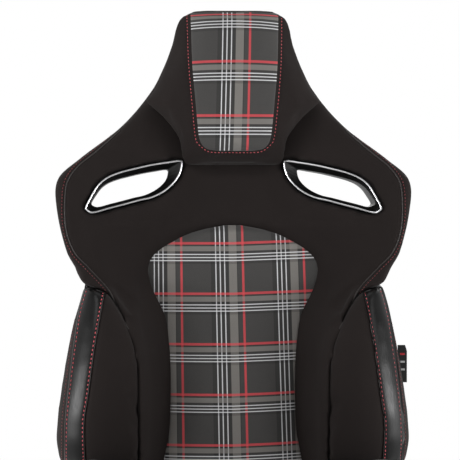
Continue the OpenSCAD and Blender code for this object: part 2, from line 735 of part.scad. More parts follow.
module recliner_plate() {
    outline_discs = [[0, 0, 32], [sync_y, sync_z, 15], [pin_y, pin_z, 13], [stud_y, stud_z, 7],
        [plate_bolts[0][0], plate_bolts[0][1], 13], [plate_bolts[1][0], plate_bolts[1][1], 13]];
    color(black_steel) on_pivot() difference() {
        side_plate(plate_in, plate_out, around(outline_discs));
        rod_x(plate_in - 1, plate_out + 1, 0, 0, pivot_d + 2 * bush_wall);
        rod_x(plate_in - 1, plate_out + 1, sync_y, sync_z, sync_d + 2 * run_gap);
        rod_x(plate_in - 1, plate_out + 1, pin_y, pin_z, pin_d);
        rod_x(plate_in - 1, plate_out + 1, stud_y, stud_z, 6);
        for (b = plate_bolts) rod_x(plate_in - 1, plate_out + 1, b[0], b[1], bolt_d + 2 * bolt_gap);
    }
}
// Spacer bolts, pawl pins and spring studs
module recliner_bolts() {
    color(zinc) on_pivot() both_sides() {
        for (b = plate_bolts) union() {
            hex_x(plate_out, plate_out + hex_t, b[0], b[1], hex_w);
            rod_x(side_in - nut_t - 1.5, plate_out, b[0], b[1], bolt_d);
            rod_x(side_in + frame_t, plate_in, b[0], b[1], bolt_d + 6);
            hex_x(side_in - nut_t - 0.5, side_in - 0.5, b[0], b[1], hex_w);
        }
        union() {
            rod_x(side_in, plate_out, pin_y, pin_z, pin_d);
            rod_x(side_in - 2, side_in, pin_y, pin_z, pin_d + 5);
        }
        rod_x(plate_in, plate_out + 9, stud_y, stud_z, 6);
    }
}
// Flat spiral spring round each pivot shaft
spiral_turns = 3.5;
spiral_t = 1.6;
module power_springs() {
    r0 = pivot_d / 2 + seat_gap;
    r1 = stud_y - 3 - seat_gap - spiral_t;
    steps = 24 * spiral_turns;
    function at(k, d) =
        let (a = 360 * k / 24 + 180 + atan2(stud_z, stud_y), r = mix(r0, r1, k / steps) + d)
        [r * cos(a), r * sin(a)];
    color(zinc) on_pivot() both_sides() side_plate(plate_out + 1, plate_out + 8, concat(
        [for (k = [0 : steps]) at(k, 0)], [for (k = [steps : -1 : 0]) at(k, spiral_t)]
    ));
}

// Pawl and cam are drawn along the line from the pivot to the cross shaft
shaft_dist = norm([sync_y, sync_z]);
shaft_angle = atan2(sync_z, sync_y);
pawl_gap = 0.6;      // the released pawl's clearance over the arm's teeth
cam_tip = 16.6;
nose_r = shaft_dist - cam_tip - 0.5;
pawl_teeth = 4;
pin_dist = norm([pin_y, pin_z]);
pin_turn = atan2(pin_z, pin_y) - shaft_angle;
function polar(r, a) = [r * cos(a), r * sin(a)];
module along_pawl() {
    rotate([shaft_angle, 0, 0]) children();
}
module pawl() {
    tip_r = tooth_r + pawl_gap;
    half_a = tooth_pitch * pawl_teeth / 2;
    teeth = [
        for (k = [0 : pawl_teeth - 1]) for (c = [[0, 1], [0.3, 0], [0.5, 0], [0.8, 1]])
        polar(tip_r + tooth_h * c[1], -half_a + tooth_pitch * (k + c[0]))
    ];
    hub = polar(pin_dist, pin_turn);
    body = [
        polar(48, half_a), [nose_r - 9, 7], [nose_r - 7, 2], [nose_r, -0.5], [nose_r, -5], [nose_r - 7, -6.4],
        [nose_r - 7, -9], hub + [6, 7], hub + [8.6, -1], hub + [6, -7], hub + [-1, -9], hub + [-7, -6.4],
        hub + [-8.4, -2], polar(44, -half_a - 8)
    ];
    color(zinc) on_pivot() along_pawl() difference() {
        side_plate(arm_x, arm_x + arm_t, concat(teeth, body));
        rod_x(arm_x - 1, arm_x + arm_t + 1, hub[0], hub[1], pin_d + 2 * run_gap);
    }
}
module release_cam() {
    lobe = around([[shaft_dist, 0, 9.5], [shaft_dist - cam_tip + 2.4, 0, 2.4]], 36);
    color(zinc) on_pivot() along_pawl() difference() {
        side_plate(arm_x, arm_x + arm_t, lobe);
        rod_x(arm_x - 1, arm_x + arm_t + 1, shaft_dist, 0, sync_d);
    }
}
cover_room = 34.5;   // room for the springs and the shaft's end inside a cover
lever_x = plate_out + cover_room + 6.5;
coil_room = 16;      // length of the cross shaft outside the left recliner plate
module sync_shaft() {
    color(zinc) on_pivot() rod_x(-plate_out - coil_room, lever_x + 8, sync_y, sync_z, sync_d);
}
module recline_lever() {
    color(black_steel) on_pivot() difference() {
        side_plate(lever_x, lever_x + 4,
            around([[sync_y, sync_z, 14], [sync_y - lever_len + 8, sync_z + 4, 8]]));
        rod_x(lever_x - 1, lever_x + 5, sync_y, sync_z, sync_d);
    }
}
grip_len = 82;
module lever_grip() {
    tip = [sync_y - lever_len, sync_z + 4];
    outer = around([[tip[0] + 6, tip[1], 11], [tip[0] + grip_len, tip[1] - 2, 13]], 36);
    color(plastic) on_pivot() difference() {
        side_plate(lever_x - 3, lever_x + 11, outer);
        side_plate(lever_x - seat_gap, lever_x + 4 + seat_gap,
            around([[sync_y, sync_z, 14 + seat_gap], [sync_y - lever_len + 8, sync_z + 4, 8 + seat_gap]]));
    }
}

// Moulded covers over the recliners
cover_wall = 2.5;
cover_discs = [[0, 0, 37.5], [pin_y, pin_z, 18], [-98, -62, 22], [-98, -85, 21], [30, -78, 18]];
module recliner_cover(hole) {
    inner = [for (d = cover_discs) [d[0], d[1], d[2] - cover_wall]];
    wide = plate_out + cover_room;
    color(plastic) on_pivot() difference() {
        union() {
            side_plate(plate_out + seat_gap, wide - 6, around(cover_discs, 60));
            side_plate(wide - 6, wide, around([for (d = cover_discs) [d[0], d[1], d[2] - 5]], 60));
        }
        side_plate(plate_out, wide - 6 - cover_wall, around(inner, 60));
        if (hole) rod_x(wide - 10, wide + 1, sync_y, sync_z, sync_d + 2);
    }
}

// ---- Seat base ----
front_tube = [-190, frame_top - 15];
rear_tube = [108, frame_top - 15];
rail_x = rail_gap / 2;
top_t = 3;
top_low = 30;
top_high = top_low + top_t;
flange_bolts = [-140, 140];
bolt_x = rail_x - 14;
module side_frame() {
    low = top_high;
    flat = [
        [-215, low], [232, low], [236, low + 40], [95, frame_top], [-195, frame_top], [-215, frame_top - 18]
    ];
    hole_r = 16;
    color(black_steel) difference() {
        union() {
            side_plate(side_in, side_in + frame_t, flat);
            on_pivot() side_plate(side_in, side_in + frame_t,
                around([[0, 0, 34], [pin_y, pin_z, 15], [plate_bolts[0][0], plate_bolts[0][1], 14],
                [plate_bolts[1][0], -82, 16]]));
            translate([rail_x - rail_w / 2 + 2, -170, low])
                cube([side_in - rail_x + rail_w / 2 - 2 + frame_t, 340, frame_t]);
        }
        on_pivot() rod_x(side_in - 1, arm_x, 0, 0, pivot_d + 2 * bush_wall);
        on_pivot() rod_x(side_in - 1, arm_x, sync_y, sync_z, sync_d + 2 * run_gap);
        on_pivot() rod_x(side_in - 1, arm_x, pin_y, pin_z, pin_d);
        for (b = plate_bolts) on_pivot() rod_x(side_in - 1, arm_x, b[0], b[1], bolt_d + 2 * bolt_gap);
        for (y = [-130, -75, -20, 35]) rod_x(side_in - 1, arm_x, y, low + 31, 2 * hole_r);
        for (y = flange_bolts) translate([bolt_x, y, low - 1])
            cylinder(h = frame_t + 2, d = bolt_d + 2 * bolt_gap);
    }
}
module seat_cross_tubes() {
    color(black_steel) for (t = [front_tube, rear_tube]) difference() {
        rod_x(-side_in, side_in, t[0], t[1], tube_d);
        rod_x(-side_in - 1, side_in + 1, t[0], t[1], tube_d - 2 * tube_wall);
    }
}
spring_xs = [-120, -40, 40, 120];
module seat_springs() {
    waves = 11;
    pitch = 26;
    from = front_tube[0] + (rear_tube[0] - front_tube[0] - waves * pitch) / 2;
    color(zinc) for (x = spring_xs) translate([x, from, front_tube[1] + tube_r + seat_gap])
        rotate([0, 0, 90]) snake(waves, pitch, 48, 8);
}
module frame_bolts() {
    head_low = top_high + frame_t;
    nut_low = top_low - nut_t + 0.2;
    color(zinc) both_sides() for (y = flange_bolts) translate([bolt_x, y, 0]) rotate([0, 0, 30]) union() {
        translate([0, 0, head_low]) cylinder(h = hex_t, d = hex_w, $fn = 6);
        translate([0, 0, nut_low - 0.5]) cylinder(h = head_low - nut_low + 0.5, d = bolt_d);
        translate([0, 0, nut_low]) cylinder(h = nut_t - 0.4, d = hex_w, $fn = 6);
    }
}

// Cushion: columns across and rows from the front lip to the rear edge
cushion_low = frame_top + seat_gap;
cushion_front = -272;
cushion_rear = 118;
flat_half = 150;
function seat_plane(y) = 150 + (cushion_rear - y) * 0.07;
seat_half = [
    [cushion_front, 205], [-262, 228], [-240, 246], [-190, seat_w / 2 - 3], [-120, seat_w / 2],
    [0, seat_w / 2], [35, seat_w / 2 - 10], [60, 222], [78, 204], [cushion_rear, 196]
];
thigh = [
    [cushion_front, 0.1], [-240, 0.55], [-190, 0.88], [-120, 1], [0, 1], [20, 0.82], [44, 0.5], [66, 0.18],
    [84, 0], [cushion_rear, 0]
];
lip = [[cushion_front, 44], [-269, 33], [-262, 22], [-250, 12], [-234, 5], [-212, 0], [cushion_rear, 0]];
seat_rows = [
    cushion_front, -269, -262, -250, -234, -212, -150, -90, -30, 5, 25, 44, 58, 70, 84, 100, cushion_rear
];
lip_from = -234;
function tucked_y(y) = y < lip_from ? mix(lip_from, y, 0.4) : y;
function seat_point(y, c) =
    let (
        w = line(seat_half, y),
        rise = thigh_rise * line(thigh, y),
        base = seat_plane(y) - line(lip, y),
        a = min(flat_half, w - 30)
    )
    c <= 3 ? [a * c / 3, y, base]
    : c == 4 ? [mix(a, w, 0.2), y, base + rise * 0.42]
    : c == 5 ? [mix(a, w, 0.42), y, base + rise * 0.9]
    : c == 6 ? [mix(a, w, 0.6), y, base + rise]
    : c == 7 ? [mix(a, w, 0.8), y, base + rise * 0.88]
    : c == 8 ? [mix(a, w, 0.94), y, base + rise * 0.6 - 3]
    : [w, y, mix(cushion_low, base + rise * 0.6, 0.72)];
module seat_pad() {
    last = 9;
    tuck_share = 0.975;
    color(suede) quilted(
        [for (y = reversed(seat_rows)) mirrored([for (c = [0 : last]) seat_point(y, c)])],
        [for (y = reversed(seat_rows)) mirrored([
            for (c = [0 : last]) let (p = seat_point(y, c))
            [p[0] * tuck_share, tucked_y(p[1]), cushion_low]
        ])]
    );
}
seat_insert_rows = [-224, -220, -210, -190, -150, -100, -50, 0, 50, 84, 100, 107, 110];
seat_insert_share = [[-224, 0.74], [-220, 0.84], [-210, 0.92], [-190, 0.97], [-150, 1], [0, 1], [50, 0.98],
    [84, 0.94], [100, 0.87], [107, 0.8], [110, 0.7]];
seat_insert_mid = -57;
seat_insert_half = 167;
module seat_insert() {
    function crown(y, u) =
        insert_crown * (1 - pow(abs(u), 2.5)) * (1 - pow(abs((y - seat_insert_mid) / seat_insert_half), 6));
    function at(y, u, t) = [
        (flat_half - 6) * curve(seat_insert_share, y) * u, y,
        seat_plane(y) + seat_gap + t * (insert_edge_t + crown(y, u))
    ];
    color(plaid) quilted(
        [for (y = reversed(seat_insert_rows)) [for (u = insert_cols) at(y, u, 1)]],
        [for (y = reversed(seat_insert_rows)) [for (u = insert_cols) at(y, u, 0)]]
    );
}

// ---- Slide rails ----
foot_low = 8.5;
foot_half = rail_len / 2 - slide_travel - 5;
upper_half = 170;
lip_half = 9;
module lower_rail(side) {
    color(black_steel) translate([side * rail_x, 0, 0]) difference() {
        translate([-rail_w / 2, -rail_len / 2, 0]) cube([rail_w, rail_len, rail_h]);
        translate([rail_wall - rail_w / 2, -rail_len / 2 - 1, rail_wall])
            cube([rail_w - 2 * rail_wall, rail_len + 2, rail_h - 2 * rail_wall]);
        translate([-lip_half, -rail_len / 2 - 1, rail_h - rail_wall - 1])
            cube([2 * lip_half, rail_len + 2, rail_wall + 2]);
        for (y = [-hole_gap / 2, hole_gap / 2]) translate([0, y, -1]) cylinder(h = rail_wall + 2, d = hole_d);
    }
}
strip_z = 12;
strip_w = 12;
strip_half = slide_travel + 40;
window_count = floor((strip_half - 5) / window_pitch);
module lock_strip() {
    in_x = rail_x - rail_w / 2 - strip_w;
    color(zinc) difference() {
        translate([in_x, -strip_half, strip_z]) cube([strip_w, 2 * strip_half, 3]);
        for (k = [-window_count : window_count])
            translate([in_x + 2.5, k * window_pitch - window_pitch / 4, strip_z - 1])
                cube([strip_w - 6, window_pitch / 2, 5]);
    }
}
module rail_end_caps() {
    inner_w = rail_w - 2 * rail_wall - 2 * bolt_gap;
    cap_h = rail_h - 2 * rail_wall - 2 * bolt_gap;
    color(plastic) both_sides() for (s = [-1, 1])
        translate([rail_x - inner_w / 2, s * (rail_len / 2 - 1.2) - 1.8, rail_wall + bolt_gap])
            cube([inner_w, 3.6, cap_h]);
}
ball_gap = 0.2;
ball_low_d = foot_low - rail_wall - 2 * ball_gap;
foot_high = foot_low + 3;
ball_high_d = rail_h - rail_wall - foot_high - 2 * ball_gap;
ball_x = 13;
ball_ys = [-48, 0, 48];
module ball_cage(side) {
    cage_half = 58;
    lows = [[rail_wall + ball_gap, ball_low_d], [foot_high + ball_gap, ball_high_d]];
    color(zinc) translate([side * rail_x, 0, 0]) for (l = lows) {
        mid = l[0] + l[1] / 2;
        for (s = [-1, 1]) difference() {
            translate([s * ball_x - 4.6, -cage_half, mid - 0.6]) cube([9.2, 2 * cage_half, 1.2]);
            for (y = ball_ys) translate([s * ball_x, y, mid - 2]) cylinder(h = 4, d = l[1] + 2 * ball_gap);
        }
        for (s = [-1, 1]) for (y = ball_ys) translate([s * ball_x, y, mid]) sphere(d = l[1]);
    }
}
hub_y = 60;
hub_z = 22;
hub_d = 8;
ear_x = rail_x - 30;
ear_t = 4;
module upper_rail(side) {
    web = lip_half - 1.5;
    ear_low = strip_z + 4;
    color(black_steel) mirror([side < 0 ? 1 : 0, 0, 0]) difference() {
        union() {
            translate([rail_x - 16, -foot_half, foot_low]) cube([32, 2 * foot_half, 3]);
            for (s = [-1, 1]) translate([rail_x + s * (web - rail_wall / 2) - rail_wall / 2, 0, 0]) {
                translate([0, -foot_half, foot_high]) cube([rail_wall, 2 * foot_half, top_low - foot_high]);
                translate([0, -upper_half, rail_h + 1.5])
                    cube([rail_wall, 2 * upper_half, top_low - rail_h - 1.5]);
            }
            translate([rail_x - 20, -upper_half, top_low]) cube([40, 2 * upper_half, top_t]);
            translate([ear_x, hub_y - 12, ear_low]) cube([ear_t, 24, top_high - ear_low]);
            translate([ear_x, hub_y - 12, top_low]) cube([rail_x - 20 - ear_x, 24, top_t]);
        }
        rod_x(ear_x - 1, ear_x + ear_t + 1, hub_y, hub_z, hub_d + 2 * run_gap);
        for (y = flange_bolts) translate([bolt_x, y, top_low - 1])
            cylinder(h = top_t + 2, d = bolt_d + 2 * bolt_gap);
    }
}

// ---- Slide release ----
lever_in = ear_x - 10;
bar_d = 10;
bar_front = -262;
bar_bend = 28;
socket_rear = -34;
socket_front = -70;
module latch_lever() {
    tooth_low = strip_z + 3 + 0.5;
    in_x = rail_x - rail_w / 2 - strip_w;
    color(zinc) difference() {
        union() {
            side_plate(lever_in, lever_in + 4, around([[hub_y, hub_z, 9], [-26, hub_z, 6.5]], 36));
            rod_x(lever_in + 4, ear_x + ear_t + 3, hub_y, hub_z, hub_d);
            translate([lever_in + 4, -22, tooth_low + 4]) cube([in_x + 9 - lever_in - 4, 44, 3]);
            for (k = [-1 : 1]) translate([in_x + 3, k * window_pitch - 1.8, tooth_low]) cube([5, 3.6, 4.2]);
            rod_y(socket_front, -26, lever_in + 2, hub_z, bar_d + 4);
        }
        rod_y(socket_front - 1, socket_rear, lever_in + 2, hub_z, bar_d);
    }
}
module release_bar() {
    x = lever_in + 2;
    color(black_steel) translate([0, 0, hub_z]) union() {
        both_sides() rod_y(bar_front + bar_bend, socket_rear - seat_gap, x, 0, bar_d);
        both_sides() translate([x - bar_bend, bar_front + bar_bend, 0]) rotate([0, 0, -90])
            rotate_extrude(angle = 90) translate([bar_bend, 0]) circle(d = bar_d);
        rod_x(bar_bend - x, x - bar_bend, bar_front, 0, bar_d);
    }
}

// ---- Return springs: one unbroken wire of six sides, wound round an axis along X ----
coil_wire = 1.4;
function coil_point(r, pitch, k, sides) =
    let (a = 360 * k / sides) [pitch * k / sides, r * cos(a), r * sin(a)];
module coil(r, pitch, curls) {
    per = 8;
    n = per * curls;
    rings = [
        for (k = [0 : n])
        let (
            a = 360 * k / per,
            p = coil_point(r, pitch, k, per),
            t = unit([pitch, -2 * PI * r * sin(a), 2 * PI * r * cos(a)]),
            u = [0, cos(a), sin(a)],
            v = cross(t, u)
        )
        [for (s = [0 : 5]) p + coil_wire / 2 * (cos(60 * s) * u + sin(60 * s) * v)]
    ];
    polyhedron(
        points = [for (g = rings) each g],
        faces = concat(
            [[for (s = [5 : -1 : 0]) s]],
            [for (k = [0 : n - 1]) for (s = [0 : 5]) let (b = 6 * k, e = (s + 1) % 6)
                each [[b + s, b + e, b + 6 + e], [b + s, b + 6 + e, b + 6 + s]]],
            [[for (s = [0 : 5]) 6 * n + s]]
        )
    );
}
hub_coil = [hub_d / 2 + seat_gap + coil_wire / 2 + 0.2, 1.9, 3];
shaft_coil = [sync_d / 2 + seat_gap + coil_wire / 2 + 0.2, 2.2, 4];
function least_gap(c) = min([
    for (k = [8 : 8 * c[2]]) norm(coil_point(c[0], c[1], k, 8) - coil_point(c[0], c[1], k - 8, 8)) - coil_wire
]);
echo(least_gap_between_spring_curls = min(least_gap(hub_coil), least_gap(shaft_coil)));
module return_springs() {
    color(zinc) both_sides() {
        translate([lever_in + 4 + coil_wire, hub_y, hub_z]) coil(hub_coil[0], hub_coil[1], hub_coil[2] - 1);
        on_pivot() translate([plate_out + coil_wire, sync_y, sync_z])
            coil(shaft_coil[0], shaft_coil[1], shaft_coil[2]);
    }
}

lower_rail(left);  // lower_rail_left
lower_rail(right);  // lower_rail_right
mirror([1, 0, 0]) lock_strip();  // lock_strip_left
lock_strip();  // lock_strip_right
rail_end_caps();
ball_cage(left);  // ball_cage_left
ball_cage(right);  // ball_cage_right
upper_rail(left);  // upper_rail_left
upper_rail(right);  // upper_rail_right
mirror([1, 0, 0]) side_frame();  // side_frame_left
side_frame();  // side_frame_right
seat_cross_tubes();
seat_springs();
frame_bolts();
mirror([1, 0, 0]) recliner_plate();  // recliner_plate_left
recliner_plate();  // recliner_plate_right
recliner_bolts();
pivot_bushes();
power_springs();
mirror([1, 0, 0]) recliner_cover(false);  // recliner_cover_left
recliner_cover(true);  // recliner_cover_right
return_springs();
seat_pad();
seat_insert();
release_bar();
mirror([1, 0, 0]) latch_lever();  // latch_lever_left
latch_lever();  // latch_lever_right
sync_shaft();
mirror([1, 0, 0]) release_cam();  // release_cam_left
release_cam();  // release_cam_right
recline_lever();
lever_grip();
mirror([1, 0, 0]) pawl();  // pawl_left
pawl();  // pawl_right
back_frame();
head_frame();
back_springs();
mirror([1, 0, 0]) recliner_arm();  // recliner_arm_left
recliner_arm();  // recliner_arm_right
arm_bolts();
pivot_shafts();
back_pad();
back_insert();
mirror([1, 0, 0]) back_bolster();  // back_bolster_left
back_bolster();  // back_bolster_right
mirror([1, 0, 0]) bolster_strip();  // bolster_strip_left
bolster_strip();  // bolster_strip_right
head_pillow();
head_panel();
side_tag();
mirror([1, 0, 0]) slot_bead();  // slot_bead_left
slot_bead();  // slot_bead_right
mirror([1, 0, 0]) slot_bezel();  // slot_bezel_left
slot_bezel();  // slot_bezel_right
both_sides() rear_bezel();  // rear_bezels
back_shell();
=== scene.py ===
"""A reclining racing seat: upholstery, trim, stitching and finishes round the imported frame."""

import json
import logging
import math
from collections.abc import Callable, Iterable, Sequence
from dataclasses import dataclass
from enum import Enum

import bmesh
import bpy
from mathutils import Matrix, Vector
from mathutils.bvhtree import BVHTree
from mathutils.kdtree import KDTree


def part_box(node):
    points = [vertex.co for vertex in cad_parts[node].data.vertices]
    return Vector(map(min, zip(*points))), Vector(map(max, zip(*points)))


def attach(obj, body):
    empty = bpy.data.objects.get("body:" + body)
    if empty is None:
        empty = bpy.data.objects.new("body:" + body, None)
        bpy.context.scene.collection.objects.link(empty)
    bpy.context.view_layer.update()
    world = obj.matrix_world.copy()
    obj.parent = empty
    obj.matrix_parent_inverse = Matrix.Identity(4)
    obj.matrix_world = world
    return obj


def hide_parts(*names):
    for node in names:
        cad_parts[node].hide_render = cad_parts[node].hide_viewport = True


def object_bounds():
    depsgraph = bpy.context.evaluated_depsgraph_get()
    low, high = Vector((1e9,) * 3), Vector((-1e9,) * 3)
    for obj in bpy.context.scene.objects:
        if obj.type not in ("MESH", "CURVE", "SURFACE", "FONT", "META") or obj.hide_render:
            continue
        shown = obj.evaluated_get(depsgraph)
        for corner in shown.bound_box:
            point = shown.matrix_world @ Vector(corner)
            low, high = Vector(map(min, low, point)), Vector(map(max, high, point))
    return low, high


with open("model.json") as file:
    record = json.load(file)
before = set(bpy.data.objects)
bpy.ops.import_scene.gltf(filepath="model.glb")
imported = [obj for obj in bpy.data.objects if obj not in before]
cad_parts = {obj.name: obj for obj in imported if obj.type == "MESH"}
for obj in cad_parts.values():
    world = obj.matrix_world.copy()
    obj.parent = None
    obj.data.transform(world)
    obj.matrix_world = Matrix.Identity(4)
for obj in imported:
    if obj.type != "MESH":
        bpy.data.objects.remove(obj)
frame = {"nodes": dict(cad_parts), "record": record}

CAD_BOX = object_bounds()
LOG = logging.getLogger("racing_seat")
Point = tuple[float, float]
Colour = tuple[float, float, float]
Spot = tuple[Vector, Vector]    # a place on a surface and the normal there
Line = Sequence[Point]
Where = Callable[[Vector], bool]
Mesh, Piece = bpy.types.Mesh, bpy.types.Object
Material, Socket = bpy.types.Material, bpy.types.NodeSocket

MM = 0.001
DM = 100.0               # millimetres in a decimetre, the unit of the cloth maps
BACKREST = "backrest"
SEAT_BASE = "seat_base"
JOINTS = {joint["name"]: joint for joint in frame["record"]["behaviour"]["joints"]}
PIVOT = Vector(JOINTS["recline"]["pos_m"])


class Side(Enum):
    """The two sides of the seat, as signs of x."""

    LEFT = -1
    RIGHT = 1

    @property
    def word(self) -> str:
        """The side's name as node names end with it."""
        return self.name.lower()


# ---- Sizes of the backrest's right half, in millimetres from the middle and over the pivot ----
# Seams as (across, height): the wing's from the neck round the shoulder and down to the cushion,
# the two long edges of a bolster's leather strip, and the row of stitches round the head's panel
WING_SEAM: Line = (
    (175, 558), (196, 539), (216, 522), (240, 502), (256, 479), (260, 446), (257.3, 403),
    (245, 370), (223, 345.6), (192.2, 311.5), (179.8, 288), (164.3, 256), (155, 237),
    (148.8, 198), (147.3, 164), (147.3, 54),
)
STRIP_INNER: Line = (
    (197.5, 314), (209.3, 251), (215.5, 212), (223.2, 153), (229.4, 110), (228.4, 48),
)
STRIP_OUTER: Line = ((225, 325), (237, 284), (245, 232), (252, 177), (259, 110), (260, 48))
HEAD_SEAM: Line = (
    (0, 524), (10, 524), (20, 524), (28, 524), (41, 525.5), (51, 532), (58.5, 540), (61.5, 552),
    (64.5, 581), (68.5, 625), (71.5, 666), (73.5, 739),
)
# Outlines as (height, half width)
BACK_HALF: Line = (
    (44, 267.5), (80, 274.5), (160, 266), (250, 250), (322, 233.5), (372, 257.5), (445, 273.5),
    (485, 269.5), (515, 237), (565, 173), (620, 126.5), (655, 108), (690, 94.5), (730, 82.5),
    (745, 64),
)
INSERT_HALF: Line = (
    (-38, 112), (0, 112), (50, 107), (90, 99), (135, 97), (185, 97), (220, 99), (255, 102),
    (276, 107), (311, 124), (342, 132), (360, 127), (375, 112), (387, 92), (398, 70), (406, 44),
    (412, 12),
)
HEAD_PANEL_HALF: Line = (
    (527, 30), (528.5, 40), (532, 47), (540, 53), (552, 56), (581, 59), (625, 63), (666, 66),
    (739, 68),
)
RED_X = 15.3             # the plaid's upright red line, right of the middle, in millimetres


def smooth(points: Line, key: float) -> float:
    """Value at a key on a smooth curve.

    Args:
        points: Pairs of (key, value) with rising keys.
        key: Where the value is wanted.

    Returns:
        The curve's value, level beyond both ends.
    """
    last = len(points) - 2
    i = next((k for k in range(last + 1) if key <= points[k + 1][0]), last)
    start, end = points[i], points[i + 1]
    before, after = points[max(i - 1, 0)], points[min(i + 2, last + 1)]
    step = end[0] - start[0]
    t = min(max((key - start[0]) / step, 0.0), 1.0)
    slope_in = (end[1] - before[1]) / (end[0] - before[0]) * step
    slope_out = (after[1] - start[1]) / (after[0] - start[0]) * step
    square, cube = t * t, t * t * t
    return (
        start[1] * (2 * cube - 3 * square + 1) + slope_in * (cube - 2 * square + t)
        + end[1] * (3 * square - 2 * cube) + slope_out * (cube - square)
    )


def on_pivot(x: float, y: float, z: float) -> Vector:
    """A point of the backrest in metres, from its millimetres round the recline pivot."""
    return PIVOT + Vector((x, y, z)) * MM


def off_pivot(place: Vector) -> Point:
    """A place's millimetres across and over the recline pivot."""
    return (place.x - PIVOT.x) / MM, (place.z - PIVOT.z) / MM


def srgb(red: int, green: int, blue: int) -> Colour:
    """A colour for a shader, from its screen values of 0 to 255."""
    def linear(value: int) -> float:
        share = value / 255
        return share / 12.92 if share <= 0.04045 else ((share + 0.055) / 1.055) ** 2.4
    return linear(red), linear(green), linear(blue)


# ---- Finishes ----
def wired(
    tree: bpy.types.NodeTree, kind: str, links: dict | None = None, **settings
) -> bpy.types.Node:
    """Adds a node to a tree, with its settings and the sockets or values that feed it."""
    made = tree.nodes.new(kind)
    for name, value in settings.items():
        setattr(made, name, value)
    for socket, value in (links or {}).items():
        if isinstance(value, Socket):
            tree.links.new(value, made.inputs[socket])
        else:
            made.inputs[socket].default_value = value
    return made


class Shader:
    """One material's node tree, built step by step."""

    def __init__(self, name: str, colour: Colour, roughness: float, **constants: float) -> None:
        """Starts a material.

        Args:
            name: The material's name.
            colour: Base colour.
            roughness: Roughness all over.
            **constants: Other values for the shader's own sockets, with underscores for spaces.
        """
        self.material = bpy.data.materials.new(name)
        self.material.use_nodes = True
        self.material.diffuse_color = (*colour, 1)
        self.tree = self.material.node_tree
        self.surface = self.tree.nodes["Principled BSDF"]
        self.surface.inputs["Base Color"].default_value = (*colour, 1)
        self.surface.inputs["Roughness"].default_value = roughness
        for words, value in constants.items():
            self.surface.inputs[words.replace("_", " ")].default_value = value
        self.place = self.node("ShaderNodeTexCoord").outputs["Object"]

    def node(self, kind: str, links: dict | None = None, **settings) -> bpy.types.Node:
        """Adds a node, with its settings and what feeds its sockets."""
        return wired(self.tree, kind, links, **settings)

    def cloth(self) -> tuple[Socket, Socket]:
        """The piece's own cloth map as its two numbers, in decimetres."""
        uv = self.node("ShaderNodeUVMap", uv_map="cloth").outputs["UV"]
        parts = self.node("ShaderNodeSeparateXYZ", {"Vector": uv}).outputs
        return parts["X"], parts["Y"]

    def math(self, operation: str, first, second=0.0) -> Socket:
        """One step of arithmetic."""
        return self.node("ShaderNodeMath", {0: first, 1: second}, operation=operation).outputs[0]

    def apart(self, value, middle) -> Socket:
        """How far a value is from a middle."""
        return self.math("ABSOLUTE", self.math("SUBTRACT", value, middle))

    def wave(self, value, turns: float) -> Socket:
        """A sine that turns so many times over one unit of a value."""
        return self.math("SINE", self.math("MULTIPLY", value, 2 * math.pi * turns))

    def mix(self, factor, first, second) -> Socket:
        """A blend of two colours. A mix node's colours are its sockets 6 and 7, and output 2."""
        links = {0: factor}
        for index, colour in ((6, first), (7, second)):
            links[index] = colour if isinstance(colour, Socket) else (*colour, 1)
        return self.node("ShaderNodeMix", links, data_type="RGBA").outputs[2]

    def toned(self, colour: Colour, factor, low: float, high: float) -> Socket:
        """A colour made darker and lighter by a factor."""
        return self.mix(factor, tuple(c * low for c in colour), tuple(c * high for c in colour))

    def noise(self, scale: float, detail: float = 2.0, roughness: float = 0.5) -> Socket:
        """Cloudy noise on Object coordinates."""
        links = {"Vector": self.place, "Scale": scale, "Detail": detail, "Roughness": roughness}
        return self.node("ShaderNodeTexNoise", links).outputs["Fac"]

    def remap(
        self, value, low: float, high: float, to_low: float, to_high: float
    ) -> Socket:
        """A value moved from one range to another, held at its ends."""
        ranges = {"From Min": low, "From Max": high, "To Min": to_low, "To Max": to_high}
        return self.node("ShaderNodeMapRange", {"Value": value, **ranges}).outputs["Result"]

    def bump(self, height, depth: float, strength: float = 1.0, under=None) -> Socket:
        """A bumped normal, in metres of depth, laid over another one where given."""
        links = {"Height": height, "Distance": depth, "Strength": strength}
        if under is not None:
            links["Normal"] = under
        return self.node("ShaderNodeBump", links).outputs["Normal"]

    def wire(self, socket: str, value) -> None:
        """Feeds one of the shader's sockets."""
        self.tree.links.new(value, self.surface.inputs[socket])

    def shade(self, colour: Colour, factor, low: float, high: float) -> None:
        """Feeds the base colour with a colour made darker and lighter by a factor."""
        self.wire("Base Color", self.toned(colour, factor, low, high))


@dataclass(frozen=True)
class Finish:
    """What every finish has: its material's name and its base colour."""

    name: str
    colour: Colour


@dataclass(frozen=True)
class Suede(Finish):
    """Matt microfibre suede with a short nap."""

    nap: float = 0.00012

    def material(self) -> Material:
        """Makes the material."""
        sheen = {"Sheen_Weight": 0.04, "Sheen_Roughness": 0.45}
        s = Shader(self.name, self.colour, 0.92, Specular_IOR_Level=0.07, **sheen)
        fibres = s.noise(1500, 3, 0.6)
        brushed = s.noise(16, 3, 0.55)
        pile = s.math("ADD", s.math("MULTIPLY", fibres, 0.6), s.math("MULTIPLY", brushed, 0.4))
        s.shade(self.colour, pile, 0.72, 1.3)
        s.wire("Normal", s.bump(fibres, self.nap, 0.7))
        return s.material


